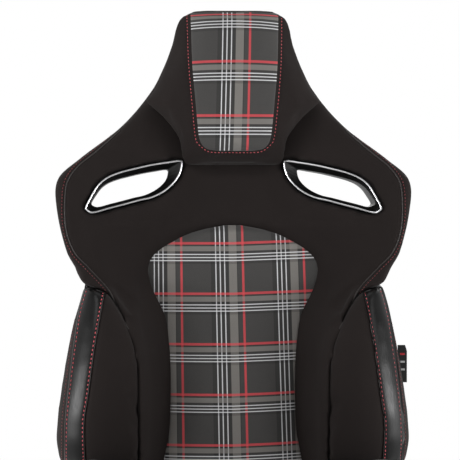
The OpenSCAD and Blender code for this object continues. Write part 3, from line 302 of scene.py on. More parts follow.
@dataclass(frozen=True)
class Leather(Finish):
    """Smooth coated leather with a fine grain."""

    def material(self) -> Material:
        """Makes the material."""
        s = Shader(self.name, self.colour, 0.34, Specular_IOR_Level=0.16)
        cells = {"Vector": s.place, "Scale": 620}
        grain = s.node("ShaderNodeTexVoronoi", cells, feature="SMOOTH_F1").outputs["Distance"]
        creases = s.noise(90, 4, 0.6)
        s.shade(self.colour, s.noise(40, 3), 0.75, 1.25)
        s.wire("Roughness", s.remap(creases, 0.3, 0.7, 0.3, 0.4))
        s.wire("Normal", s.bump(creases, 0.0002, 0.4, s.bump(grain, 0.00016, 0.55)))
        return s.material


@dataclass(frozen=True)
class Stripe:
    """One stripe: its middle from the red line and its width in millimetres, colour, weight."""

    middle: float
    width: float
    colour: Colour
    weight: float


PLAID_GREY = srgb(143, 139, 134)
PLAID_WHITE = srgb(242, 242, 245)
PLAID_RED = srgb(202, 70, 77)
PLAID_BLACK = (0.006, 0.006, 0.006)


# Stripes that run up and down, then those that run across
WARP = (
    Stripe(-29, 42, PLAID_BLACK, 0.35),
    Stripe(-15.6, 12.4, PLAID_GREY, 0.5),
    *(Stripe(middle, 1.5, PLAID_WHITE, 0.6) for middle in (-42, -35.3, -28.4)),
    Stripe(0, 3.4, PLAID_RED, 0.68),
)
WEFT = (
    Stripe(-17, 30, PLAID_BLACK, 0.3),
    Stripe(-8.4, 7.8, PLAID_GREY, 0.45),
    *(Stripe(middle, 1.5, PLAID_WHITE, 0.56) for middle in (-17.2, -22.0, -26.8)),
    Stripe(0, 3.7, PLAID_RED, 0.64),
)


@dataclass(frozen=True)
class Plaid(Finish):
    """Woven twill plaid, read from the piece's cloth map. Lengths are in millimetres."""

    across: float = 95.2
    down: float = 78.1
    blur: float = 0.35
    rib: float = 1.5
    thread: float = 0.8

    def striped(self, s: Shader, cloth, along, repeat: float, stripes: Iterable[Stripe]):
        """Lays one set of stripes over a colour.

        Args:
            s: The shader.
            cloth: The colour so far.
            along: The cloth coordinate that the stripes are measured on, in decimetres.
            repeat: The pattern's repeat in millimetres.
            stripes: The stripes.

        Returns:
            The colour with its stripes.
        """
        for stripe in stripes:
            turns = s.math("MULTIPLY", along, DM / repeat)
            turned = s.math("SUBTRACT", turns, stripe.middle / repeat - 0.5)
            offset = s.apart(s.math("FRACT", turned), 0.5)
            half, blur = stripe.width / 2 / repeat, self.blur / repeat
            inside = s.remap(offset, half - blur, half + blur, stripe.weight, 0.0)
            cloth = s.mix(inside, cloth, stripe.colour)
        return cloth

    def material(self) -> Material:
        """Makes the material."""
        sheen = {"Sheen_Weight": 0.08, "Sheen_Roughness": 0.5}
        s = Shader(self.name, self.colour, 0.86, Specular_IOR_Level=0.15, **sheen)
        u, v = s.cloth()
        cloth = s.toned(self.colour, s.noise(1100, 2, 0.6), 0.8, 1.2)
        cloth = self.striped(s, cloth, u, self.across, WARP)
        cloth = self.striped(s, cloth, v, self.down, WEFT)
        ribs = s.wave(s.math("ADD", u, v), DM / self.rib)
        threads = s.wave(s.math("SUBTRACT", u, v), DM / self.thread)
        weave = s.math("ADD", s.math("MULTIPLY", ribs, 0.35), s.math("MULTIPLY", threads, 0.15))
        shadow = s.remap(weave, -0.5, 0.5, 0.86, 1.0)
        s.wire("Base Color", s.mix(s.math("SUBTRACT", 1.0, shadow), cloth, (0.0, 0.0, 0.0)))
        s.wire("Normal", s.bump(weave, 0.00018, 0.6))
        return s.material


@dataclass(frozen=True)
class Thread(Finish):
    """Twisted sewing thread."""

    def material(self) -> Material:
        """Makes the material."""
        s = Shader(self.name, self.colour, 0.6, Specular_IOR_Level=0.3, Sheen_Weight=0.2)
        ply = s.noise(2500, 2)
        s.shade(self.colour, ply, 0.7, 1.25)
        s.wire("Normal", s.bump(ply, 0.0001, 0.5))
        return s.material


@dataclass(frozen=True)
class Plastic(Finish):
    """Moulded plastic with a spark-eroded grain."""

    roughness: float = 0.5
    grain: float = 0.00009

    def material(self) -> Material:
        """Makes the material."""
        s = Shader(self.name, self.colour, self.roughness, Specular_IOR_Level=0.32)
        fine = s.noise(1300, 3, 0.65)
        patches = s.noise(14, 2)
        s.shade(self.colour, patches, 0.82, 1.2)
        rough = s.remap(patches, 0.3, 0.7, self.roughness - 0.05, self.roughness + 0.06)
        s.wire("Roughness", rough)
        s.wire("Normal", s.bump(fine, self.grain, 0.6))
        return s.material


@dataclass(frozen=True)
class Metal(Finish):
    """Bare or plated metal, brushed or blotched by its finish."""

    roughness: float
    scale: float = 60.0
    depth: float = 0.00004

    def material(self) -> Material:
        """Makes the material."""
        s = Shader(self.name, self.colour, self.roughness, Metallic=1.0)
        bloom = s.noise(self.scale, 4, 0.6)
        s.shade(self.colour, bloom, 0.86, 1.1)
        rough = s.remap(bloom, 0.3, 0.7, self.roughness * 0.8, self.roughness * 1.25)
        s.wire("Roughness", rough)
        s.wire("Normal", s.bump(s.noise(900, 2), self.depth, 0.5))
        return s.material


@dataclass(frozen=True)
class PowderCoat(Finish):
    """Black powder-coated steel with a slight orange peel and scuffed dust."""

    def material(self) -> Material:
        """Makes the material."""
        s = Shader(self.name, self.colour, 0.42, Specular_IOR_Level=0.4)
        peel = s.noise(420, 2)
        dust = s.noise(9, 5, 0.65)
        s.shade(self.colour, dust, 0.8, 1.5)
        s.wire("Roughness", s.remap(dust, 0.35, 0.7, 0.36, 0.55))
        s.wire("Normal", s.bump(peel, 0.00012, 0.4))
        return s.material


@dataclass(frozen=True)
class WovenLabel(Finish):
    """Black woven tape with plain light and red bars, measured in decimetres of its map."""

    middle: float = 0.05
    half: float = 0.026
    bar: float = 0.03

    def material(self) -> Material:
        """Makes the material."""
        s = Shader(self.name, self.colour, 0.8, Specular_IOR_Level=0.2)
        u, v = s.cloth()
        cloth = s.mix(s.noise(1800, 2), (0.006, 0.006, 0.006), (0.02, 0.02, 0.02))
        pale = srgb(150, 150, 150)
        inside = s.math("LESS_THAN", s.apart(u, self.middle), self.half)
        for place, colour in ((0.20, pale), (0.32, pale), (0.44, srgb(150, 42, 48))):
            bar = s.math("LESS_THAN", s.apart(v, place), self.bar / 2)
            cloth = s.mix(s.math("MULTIPLY", bar, inside), cloth, colour)
        ribs = s.wave(v, 120)
        s.wire("Base Color", cloth)
        s.wire("Normal", s.bump(ribs, 0.0001, 0.4))
        return s.material


SUEDE = Suede("black_suede", srgb(31, 27, 26)).material()
LEATHER = Leather("black_leather", srgb(8, 8, 8)).material()
PLAID = Plaid("plaid_twill", srgb(62, 61, 60)).material()
RED_THREAD = Thread("red_thread", srgb(188, 74, 82)).material()
# A darker copy of the red thread: painted shade for the rows on the side walls that turn away from
# the lamps.
SHADED_RED_THREAD = Thread("red_thread_painted_shade", srgb(122, 40, 45)).material()
# Piping cord: the cord is real, and its grey colour paints the highlight along the sewn edges.
HIGHLIGHT_PIPING = Leather("piping_painted_highlight", srgb(52, 49, 48)).material()
BEZEL = Plastic("black_bezel", srgb(11, 11, 11), 0.38).material()
CHROME = Metal("bright_chrome", (0.5, 0.5, 0.51), 0.3, 30, 0.000005).material()
ZINC = Metal("zinc_plate", (0.58, 0.59, 0.61), 0.38).material()
BRONZE = Metal("sintered_bronze", (0.6, 0.42, 0.2), 0.4).material()
STEEL = PowderCoat("powder_coated_steel", srgb(32, 32, 33)).material()
TRIM = Plastic("black_trim", srgb(24, 23, 23), 0.46).material()
SHELL = Plastic("grained_shell", srgb(33, 33, 34), 0.56, 0.00016).material()
LABEL = WovenLabel("woven_label", (0.01, 0.01, 0.01)).material()


# ---- Mesh tools ----
def add(name: str, mesh: Mesh, *materials: Material) -> Piece:
    """Adds a mesh to the scene as a smooth-shaded object with its materials."""
    made = bpy.data.objects.new(name, mesh)
    bpy.context.scene.collection.objects.link(made)
    mesh.materials.clear()
    for material in materials:
        mesh.materials.append(material)
    mesh.polygons.foreach_set("use_smooth", [True] * len(mesh.polygons))
    return made


def to_mesh(bm: bmesh.types.BMesh, name: str) -> Mesh:
    """Writes a bmesh to a new mesh, with its faces turned outwards."""
    bmesh.ops.recalc_face_normals(bm, faces=bm.faces)
    mesh = bpy.data.meshes.new(name)
    bm.to_mesh(mesh)
    bm.free()
    return mesh


def settle(piece: Piece) -> None:
    """Makes a piece's modifiers part of its mesh."""
    shown = piece.evaluated_get(bpy.context.evaluated_depsgraph_get())
    mesh = bpy.data.meshes.new_from_object(shown)
    piece.modifiers.clear()
    piece.data = mesh
    mesh.polygons.foreach_set("use_smooth", [True] * len(mesh.polygons))


def skin(node: str, name: str, grain: float) -> Piece:
    """A suede skin of a CAD node's form, with even faces of one size."""
    bm = bmesh.new()
    bm.from_mesh(frame["nodes"][node].data)
    bmesh.ops.remove_doubles(bm, verts=bm.verts, dist=1e-5)
    piece = add(name, to_mesh(bm, name), SUEDE)
    grid = piece.modifiers.new("even", "REMESH")
    grid.mode = "VOXEL"
    grid.voxel_size = grain
    settle(piece)
    return piece


def relaxed(
    piece: Piece, times: int, held: Where | None = None
) -> None:
    """Smooths a mesh without shrinking it much, apart from the points that are held.

    Args:
        piece: The piece.
        times: Rounds of smoothing.
        held: Whether a point at a place stays where it is.
    """
    bm = bmesh.new()
    bm.from_mesh(piece.data)
    free = [v for v in bm.verts if held is None or not held(v.co)]
    start = [v.co.copy() for v in free]

    def blur() -> None:
        for _ in range(times):
            bmesh.ops.smooth_vert(
                bm, verts=free, factor=0.5, use_axis_x=True, use_axis_y=True, use_axis_z=True
            )

    blur()
    smoothed = [v.co.copy() for v in free]
    for vertex, before, after in zip(free, start, smoothed):
        vertex.co = before + (before - after)
    blur()
    bm.to_mesh(piece.data)
    bm.free()


SIM_FRAMES = 20
PRESSURE = 4.0           # inside every piece that is blown up


def puffed(
    piece: Piece, cap: Callable[[Vector], float], held: Where
) -> None:
    """Blows up a piece as padded cloth that is sewn down where it is held.

    Args:
        piece: The closed piece.
        cap: The furthest that a point at a place may move, in metres.
        held: Whether the cloth is sewn down at a place.
    """
    rest = [v.co.copy() for v in piece.data.vertices]
    sewn = piece.vertex_groups.new(name="sewn")
    sewn.add([i for i, co in enumerate(rest) if held(co)], 1.0, "REPLACE")
    cloth = piece.modifiers.new("puff", "CLOTH")
    cloth.settings.quality = 4
    cloth.settings.use_pressure = True
    cloth.settings.uniform_pressure_force = PRESSURE
    cloth.settings.vertex_group_mass = "sewn"
    cloth.settings.effector_weights.gravity = 0
    cloth.point_cache.frame_end = SIM_FRAMES
    for step in range(1, SIM_FRAMES + 1):
        bpy.context.scene.frame_set(step)
    settle(piece)
    for vertex, start in zip(piece.data.vertices, rest):
        moved = vertex.co - start
        limit = cap(start)
        if moved.length > limit:
            vertex.co = start + moved * (limit / moved.length)
    piece.vertex_groups.clear()
    bpy.context.scene.frame_set(1)


def refined(piece: Piece) -> None:
    """Subdivides a piece smoothly once and keeps the result."""
    finer = piece.modifiers.new("finer", "SUBSURF")
    finer.levels = finer.render_levels = 1
    settle(piece)


AHEAD = -600.0           # in front of all of the backrest, in millimetres
BESIDE = 400.0           # beside all of it


class Surface:
    """The outside of a piece, felt from one side."""

    def __init__(self, piece: Piece) -> None:
        """Takes the piece's shape."""
        self.tree = BVHTree.FromObject(piece, bpy.context.evaluated_depsgraph_get())

    def feel(self, start: Vector, way: Vector) -> Spot | None:
        """Where a ray first meets the outside, and the normal there."""
        place, normal, _, _ = self.tree.ray_cast(start, way)
        return None if place is None else (place, normal)

    def front(self, x: float, z: float) -> Spot | None:
        """The point that shows from the front at a place of the backrest in millimetres."""
        return self.feel(on_pivot(x, AHEAD, z), Vector((0, 1, 0)))

    def nearest_front(self, x: float, z: float, inward: float = 0.01, down: float = 0.5) -> Spot:
        """The same, or the next point that shows, stepping inwards by a share of x and down."""
        for step in range(60):
            felt = self.front(x * (1 - inward * step), z - down * step)
            if felt is not None:
                return felt
        return on_pivot(x, 0, z), Vector((0, -1, 0))


def trued(
    piece: Piece,
    outline: Line,
    low: float,
    high: float,
    band: float = 28.0,
    foot_fade: float = 20.0,
    top_fade: float = 6.0,
) -> None:
    """Draws a piece's two sides to a smooth outline of half widths. Lengths are in millimetres.

    Args:
        piece: The piece.
        outline: Pairs of (height, half width).
        low: Lowest height that is drawn.
        high: Highest one.
        band: How far in from the edge points still move.
        foot_fade: Over how much height the drawing sets in above the lowest.
        top_fade: The same below the highest.
    """
    surface = Surface(piece)
    step, depths, narrowest = 2.0, range(-150, 1, 6), 10
    found: dict[tuple[Side, int], float] = {}
    for side in Side:
        way = Vector((-side.value, 0, 0))
        for k in range(int((high - low) / step) + 2):
            starts = (on_pivot(side.value * BESIDE, y, low + k * step) for y in depths)
            hits = (surface.feel(start, way) for start in starts)
            widths = (abs(hit[0].x) / MM for hit in hits if hit is not None)
            found[side, k] = max(widths, default=0.0)
    for vertex in piece.data.vertices:
        z = (vertex.co.z - PIVOT.z) / MM
        if not low < z < high:
            continue
        side = Side.RIGHT if vertex.co.x > 0 else Side.LEFT
        k, share = divmod((z - low) / step, 1)
        edge = found[side, int(k)] * (1 - share) + found[side, int(k) + 1] * share
        if edge < narrowest:
            continue
        inward = (edge - abs(vertex.co.x) / MM) / band
        weight = max(0.0, 1 - inward) * min((z - low) / foot_fade, (high - z) / top_fade, 1.0)
        vertex.co.x += side.value * (smooth(outline, z) - edge) * weight * MM


def keyed(points: Line) -> tuple[float, list[Point], list[Point]]:
    """A line's length, and each of its two coordinates against the length so far."""
    lengths = [0.0]
    for a, b in zip(points, points[1:]):
        lengths.append(lengths[-1] + math.dist(a, b))
    firsts, seconds = ([(d, p[axis]) for d, p in zip(lengths, points)] for axis in (0, 1))
    return lengths[-1], firsts, seconds


def point_at(points: Line, share: float) -> Point:
    """The point of a smooth line through a few points at a share of its length."""
    length, firsts, seconds = keyed(points)
    return smooth(firsts, length * share), smooth(seconds, length * share)


def flowing(points: Line, step: float = 2.0) -> list[Point]:
    """A smooth line through a few points, sampled at even steps.

    Args:
        points: The points, in millimetres.
        step: About how far apart the samples are.

    Returns:
        The samples, from the first point to the last.
    """
    length, firsts, seconds = keyed(points)
    count = max(2, round(length / step))
    return [
        (smooth(firsts, length * k / count), smooth(seconds, length * k / count))
        for k in range(count + 1)
    ]


def shifted(points: Line, aside: float) -> list[Point]:
    """A line moved sideways, to the left of the way it runs."""
    moved = []
    for k, point in enumerate(points):
        a, b = points[max(k - 1, 0)], points[min(k + 1, len(points) - 1)]
        length = max(math.dist(a, b), 1e-9)
        across, up = (b[0] - a[0]) / length, (b[1] - a[1]) / length
        moved.append((point[0] - up * aside, point[1] + across * aside))
    return moved


LINE_GAP = 12 * MM       # a line that jumps further than this has left its surface


def laid(surface: Surface, points: Iterable[Point], side: Side, across: float = 0.0) -> list[Spot]:
    """A line of the backrest laid on a surface as it shows from the front.

    Args:
        surface: What it lies on.
        points: The line on the right side, in millimetres.
        side: The side it is wanted on.
        across: How far the whole line stands to the right.

    Returns:
        The longest stretch of it that meets the surface, as (place, normal) pairs.
    """
    runs: list[list[Spot]] = [[]]
    for x, z in points:
        hit = surface.front(side.value * x + across, z)
        if hit is None or (runs[-1] and (hit[0] - runs[-1][-1][0]).length > LINE_GAP):
            runs.append([])
        if hit is not None:
            runs[-1].append(hit)
    return max(runs, key=len)


def sewn_lines(
    piece: Piece,
    lines: Iterable[Line],
    sides: Iterable[Side],
    across: float = 0.0,
) -> list[list[Vector]]:
    """The places of each line laid on a piece, on each of the sides."""
    surface = Surface(piece)
    rows = (laid(surface, line, side, across) for line in lines for side in sides)
    return [[place for place, _ in row] for row in rows]


def tree_of(lines: Iterable[Iterable[Vector]]) -> KDTree:
    """A tree of all points of some lines, for distances to the nearest."""
    points = [point for line in lines for point in line]
    tree = KDTree(len(points))
    for index, point in enumerate(points):
        tree.insert(point, index)
    tree.balance()
    return tree


def creased(
    piece: Piece, lines: Iterable[Sequence[Vector]], depth: float, width: float
) -> None:
    """Presses sewn grooves into a piece.

    Args:
        piece: The piece.
        lines: The seams, as points close together.
        depth: How deep the middle of a groove is, in metres.
        width: How far the groove fades out to each side.
    """
    tree = tree_of(lines)
    normals = [v.normal.copy() for v in piece.data.vertices]
    for vertex, normal in zip(piece.data.vertices, normals):
        _, _, distance = tree.find(vertex.co)
        if distance < 3 * width:
            vertex.co -= normal * depth * math.exp(-((distance / width) ** 2))


@dataclass(frozen=True)
class Stitching:
    """Rows of stitches in one thread. They stand over the cloth by a share of their height."""

    pitch: float = 6.7 * MM
    length: float = 3.9 * MM
    width: float = 1.7 * MM
    height: float = 1.3 * MM
    # This flag sews with the darker copy of the red thread, painted shade for rows on the side
    # walls.
    in_shade: bool = False
    raised: float = 0.22

    def sew(self, name: str, rows: Iterable[Sequence[Spot]]) -> Piece:
        """Sews rows of single stitches.

        Args:
            name: The piece's name.
            rows: Rows of (place, normal) pairs on the surface.

        Returns:
            All the stitches as one piece.
        """
        bm = bmesh.new()
        for row in rows:
            gone = self.pitch / 2
            for (a, normal), (b, _) in zip(row, row[1:]):
                step = (b - a).length
                while step > 0 and gone <= step:
                    along = (b - a).normalized()
                    across = normal.cross(along).normalized()
                    up = along.cross(across)
                    turn = Matrix((along, across, up)).transposed().to_4x4()
                    shape = Matrix.Diagonal((self.length, self.width, self.height, 1))
                    place = Matrix.Translation(a + along * gone + up * self.height * self.raised)
                    whole = place @ turn @ shape
                    bmesh.ops.create_icosphere(bm, subdivisions=1, radius=0.5, matrix=whole)
                    gone += self.pitch
                gone -= step
        return add(name, to_mesh(bm, name), SHADED_RED_THREAD if self.in_shade else RED_THREAD)


def piped(
    name: str, rows: Iterable[Sequence[Spot]], radius: float, raised: float
) -> Piece:
    """Piping along sewn edges: a thin cord in grey, which paints the highlight that the edges
    catch.

    Args:
        name: The piece's name.
        rows: Rows of (place, normal) pairs on the surface.
        radius: Radius of the piping.
        raised: How far its middle lies over the surface.

    Returns:
        The piping as one mesh.
    """
    curve = bpy.data.curves.new(name, "CURVE")
    curve.dimensions = "3D"
    curve.bevel_depth = radius
    curve.bevel_resolution = 2
    curve.use_fill_caps = True
    for row in rows:
        spline = curve.splines.new("POLY")
        spline.points.add(len(row) - 1)
        for point, (place, normal) in zip(spline.points, row):
            point.co = (*(place + normal * raised), 1)
    drawn = bpy.data.objects.new(name + "_line", curve)
    bpy.context.scene.collection.objects.link(drawn)
    bpy.context.view_layer.update()
    shown = drawn.evaluated_get(bpy.context.evaluated_depsgraph_get())
    mesh = bpy.data.meshes.new_from_object(shown)
    bpy.data.objects.remove(drawn)
    return add(name, mesh, HIGHLIGHT_PIPING)


def panelled(
    name: str,
    columns: int,
    rows: int,
    place: Callable[[float, float], Vector],
    cloth: Callable[[float, float, Vector], Point],
    thickness: float,
    *materials: Material,
) -> Piece:
    """A sewn panel: an even grid put in place, with its rim turned down.

    Args:
        name: The piece's name.
        columns: Faces across.
        rows: Faces up.
        place: The place of a point at shares across (-1 to 1) and up (0 to 1).
        cloth: The cloth map's value in decimetres at those shares and that place.
        thickness: Depth of the turned rim, in metres.
        *materials: What it is made of.

    Returns:
        The panel.
    """
    bm = bmesh.new()
    bmesh.ops.create_grid(bm, x_segments=columns, y_segments=rows, size=1)
    shares = {vertex: (vertex.co.x, (vertex.co.y + 1) / 2) for vertex in bm.verts}
    cloth_map = bm.loops.layers.uv.new("cloth")
    for face in bm.faces:
        for loop in face.loops:
            u, v = shares[loop.vert]
            loop[cloth_map].uv = cloth(u, v, place(u, v))
    for vertex in bm.verts:
        vertex.co = place(*shares[vertex])
    bm.normal_update()
    facing = sum((face.normal * face.calc_area() for face in bm.faces), Vector())
    rim = [edge for edge in bm.edges if edge.is_boundary]
    turned = bmesh.ops.extrude_edge_only(bm, edges=rim)["geom"]
    corners = [part for part in turned if isinstance(part, bmesh.types.BMVert)]
    bmesh.ops.translate(bm, verts=corners, vec=-facing.normalized() * thickness)
    bottom = [edge for edge in bm.edges if edge.is_boundary]
    bmesh.ops.holes_fill(bm, edges=bottom, sides=0)
    return add(name, to_mesh(bm, name), *materials)


# ---- Backrest ----
BACK_Y = PIVOT.y - 4 * MM    # the pads' cloth is held behind it
SLOT_BOXES = [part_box(f"slot_bead_{side.word}") for side in Side]


def slot_zone(place: Vector, reach: float = 0.0) -> bool:
    """Whether a place is at a belt slot's wall or within a distance of its trim's box."""
    return any(
        low.x - reach < place.x < high.x + reach and low.z - reach < place.z < high.z + reach
        for low, high in SLOT_BOXES
    )


@dataclass
class BackCover:
    """The sewn suede cover of wings, neck and centre, with its seams.

    The fields down to sewn are in metres, the others in millimetres across or over the pivot.
    """

    grain: float = 6.5 * MM
    puff: float = 6 * MM
    near_slot: float = 1.5 * MM
    near_bolster: float = 1 * MM
    fade: float = 14 * MM
    groove: Point = (2.0 * MM, 2.6 * MM)
    bead_groove: Point = (1.6 * MM, 4 * MM)
    sewn: float = 5 * MM
    bolster: Point = (138.0, 80.0)
    pillow: Point = (130.0, 496.0)
    drawn: Point = (340.0, 742.0)
    wing_foot: float = 360.0
    blend: float = 40.0
    flat_to: float = 152.0
    flat_fade: float = 7.0
    piping_foot: float = 252.0
    stitches_out: float = 4.4

    def beside_bolster(self, place: Vector) -> bool:
        """Whether a place is on the low edge that stands against an outer bolster."""
        return abs(place.x) > self.bolster[0] * MM and place.z < PIVOT.z + self.bolster[1] * MM

    def swell(self, place: Vector, edge: KDTree) -> float:
        """How far the cloth may swell at a place: not at all under the insert and the pillow."""
        if slot_zone(place, self.fade):
            return self.near_slot
        x, z = off_pivot(place)
        x = abs(x)
        under_pillow = z > self.pillow[1] and x < self.pillow[0]
        under_insert = z < INSERT_HALF[-1][0] and x < smooth(INSERT_HALF, z)
        if under_pillow or under_insert:
            return 0.0
        near = edge.find(Vector((place.x, PIVOT.y, place.z)))[2]
        full = self.puff * min(near / self.fade, 1.0)
        below = min(max((self.wing_foot - z) / self.blend, 0.0), 1.0)
        inside = min(max((self.flat_to - x) / self.flat_fade, 0.0), 1.0)
        return full + (min(full, self.near_bolster) - full) * (below * inside)

    def build(self) -> None:
        """Makes the cover and its wing seams."""
        cover = skin("back_pad", "back_cover", self.grain)
        relaxed(cover, 4, lambda co: slot_zone(co, -4 * MM))
        relaxed(cover, 14, lambda co: slot_zone(co, 6 * MM) or self.beside_bolster(co))
        trued(cover, BACK_HALF, *self.drawn)
        seam = flowing(WING_SEAM)
        tree = tree_of(sewn_lines(cover, [seam], Side))
        outline = ([on_pivot(side.value * half, 0, z) for side in Side] for z, half in INSERT_HALF)
        edge = tree_of(outline)
        puffed(
            cover,
            lambda co: self.swell(co, edge),
            lambda co: co.y > BACK_Y or tree.find(co)[2] < self.sewn or slot_zone(co, 2 * MM),
        )
        relaxed(cover, 2, lambda co: slot_zone(co, 2 * MM))
        refined(cover)
        trued(cover, BACK_HALF, *self.drawn)
        shown = [point for point in seam if point[1] > self.wing_foot - self.blend]
        creased(cover, sewn_lines(cover, [shown], Side), *self.groove)
        meshes = [frame["nodes"][f"slot_bead_{side.word}"].data for side in Side]
        creased(cover, [[v.co.copy() for v in mesh.vertices] for mesh in meshes], *self.bead_groove)
        self.trim(Surface(cover), seam)
        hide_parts("back_pad")
        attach(cover, BACKREST)

    def trim(self, surface: Surface, seam: Line) -> None:
        """Sews the wing seams: piping with a row of stitches outside it."""
        corded = [point for point in seam if point[1] > self.piping_foot]
        cords = [laid(surface, corded, side) for side in Side]
        rows = [laid(surface, shifted(seam, self.stitches_out), side) for side in Side]
        # The wing row is sewn in the darker thread: painted shade on the side wall.
        fine = Stitching(5.0 * MM, 3.0 * MM, 1.0 * MM, 0.8 * MM, in_shade=True)
        # The grey piping paints the highlight on the wing's seam.
        for piece in (
            fine.sew("wing_stitching", rows), piped("wing_piping", cords, 1.05 * MM, 0.3 * MM)
        ):
            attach(piece, BACKREST)


@dataclass
class BackInsert:
    """The plaid centre of the backrest, in millimetres over and before the recline pivot."""

    low: float = -38.0
    high: float = 412.0
    base: float = -40.3
    edge: float = 6.0
    crown: float = 14.0
    narrow: float = 60.0
    lumbar: float = 10.0
    lumbar_at: float = 130.0
    lumbar_reach: float = 110.0
    lean: float = 0.0209
    fan: float = 0.000125
    upright_at: float = 342.5
    lift: float = 0.037
    red_z: float = 305.8

    def place(self, u: float, v: float) -> Vector:
        """The place of a point of the panel, with its rows closer together at the arch."""
        z = self.low + (self.high - self.low) * (1 - (1 - v) ** 1.6)
        half = smooth(INSERT_HALF, z)
        lumbar = self.lumbar * math.exp(-(((z - self.lumbar_at) / self.lumbar_reach) ** 2))
        full = min(1.0, half / self.narrow)
        rolled = 1 - abs(u) ** 6
        bulge = (self.crown + lumbar) * full * (1 - abs(u) ** 2.5)
        return on_pivot(half * u, self.base - self.edge * (0.25 + 0.75 * rolled) - bulge, z)

    def cloth(self, u: float, v: float, place: Vector) -> Point:
        """Where the plaid lies: it leans a little and lifts to one side."""
        x, z = off_pivot(place)
        across = x - (self.lean + self.fan * x) * (self.upright_at - z) - RED_X
        return across / DM, (z - self.lift * max(0.0, x) - self.red_z) / DM

    def build(self) -> None:
        """Makes the insert."""
        panel = panelled("back_centre", 64, 130, self.place, self.cloth, 4 * MM, PLAID)
        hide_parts("back_insert")
        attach(panel, BACKREST)


@dataclass
class OuterBolster:
    """One of the lower side bolsters, with its leather strip.

    The fields down to sewn are in metres, the others in millimetres: the bolster's foot over the
    pivot, how far the strip stands over the suede, and where its stitches and piping run.
    """

    side: Side
    grain: float = 5 * MM
    puff: float = 6 * MM
    sewn: float = 4 * MM
    foot: float = 56.0
    strip_up: float = 0.8
    edges_up: float = 0.9
    stitches_in: float = 2.6
    piping_in: float = 0.6
    stitches_out: float = 5.0

    def build(self) -> None:
        """Makes the bolster, its leather strip and its stitching."""
        word = self.side.word
        bolster = skin(f"back_bolster_{word}", f"side_bolster_{word}", self.grain)
        relaxed(bolster, 12, lambda co: co.z < PIVOT.z + self.foot * MM)
        seams = (flowing(STRIP_INNER), flowing(STRIP_OUTER))
        tree = tree_of(sewn_lines(bolster, seams, [self.side]))
        puffed(
            bolster, lambda co: self.puff, lambda co: co.y > BACK_Y or tree.find(co)[2] < self.sewn
        )
        refined(bolster)
        creased(bolster, sewn_lines(bolster, seams, [self.side]), 1.6 * MM, 3 * MM)
        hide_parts(f"back_bolster_{self.side.word}")
        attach(bolster, BACKREST)
        self.strip(Surface(bolster))

    def strip(self, surface: Surface) -> None:
        """Lays the leather strip between its two seams and sews it down."""
        def place(u: float, v: float) -> Vector:
            share = (u + 1) / 2
            ends = zip(point_at(STRIP_INNER, v), point_at(STRIP_OUTER, v))
            x, z = ((1 - share) * inner + share * outer for inner, outer in ends)
            at, normal = surface.nearest_front(self.side.value * x, z)
            return at + normal * (self.strip_up + self.edges_up * u * u) * MM

        def cloth(u: float, v: float, at: Vector) -> Point:
            return u * 0.16, v * 2.7

        def row(on: Surface, line: Line, aside: float) -> list[Spot]:
            return laid(on, shifted(flowing(line), aside), self.side)

        word = self.side.word
        strip = panelled(f"leather_strip_{word}", 10, 70, place, cloth, 2.5 * MM, LEATHER)
        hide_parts(f"bolster_strip_{self.side.word}")
        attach(strip, BACKREST)
        on_strip = Surface(strip)
        rows, edges = (
            [row(on_strip, STRIP_INNER, inset), row(on_strip, STRIP_OUTER, -inset)]
            for inset in (self.stitches_in, self.piping_in)
        )
        outside = [row(surface, STRIP_OUTER, self.stitches_out)]
        # The outer row is sewn in the darker thread: painted shade on the side wall.
        fine = Stitching(5.4 * MM, 3.2 * MM, 1.2 * MM, 0.9 * MM, in_shade=True)
        # The grey piping paints the highlight on the strip's edges.
        for piece in (
            piped(f"strip_piping_{word}", edges, 0.7 * MM, 0.1 * MM),
            Stitching().sew(f"strip_stitching_{word}", rows),
            fine.sew(f"edge_stitching_{word}", outside),
        ):
            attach(piece, BACKREST)


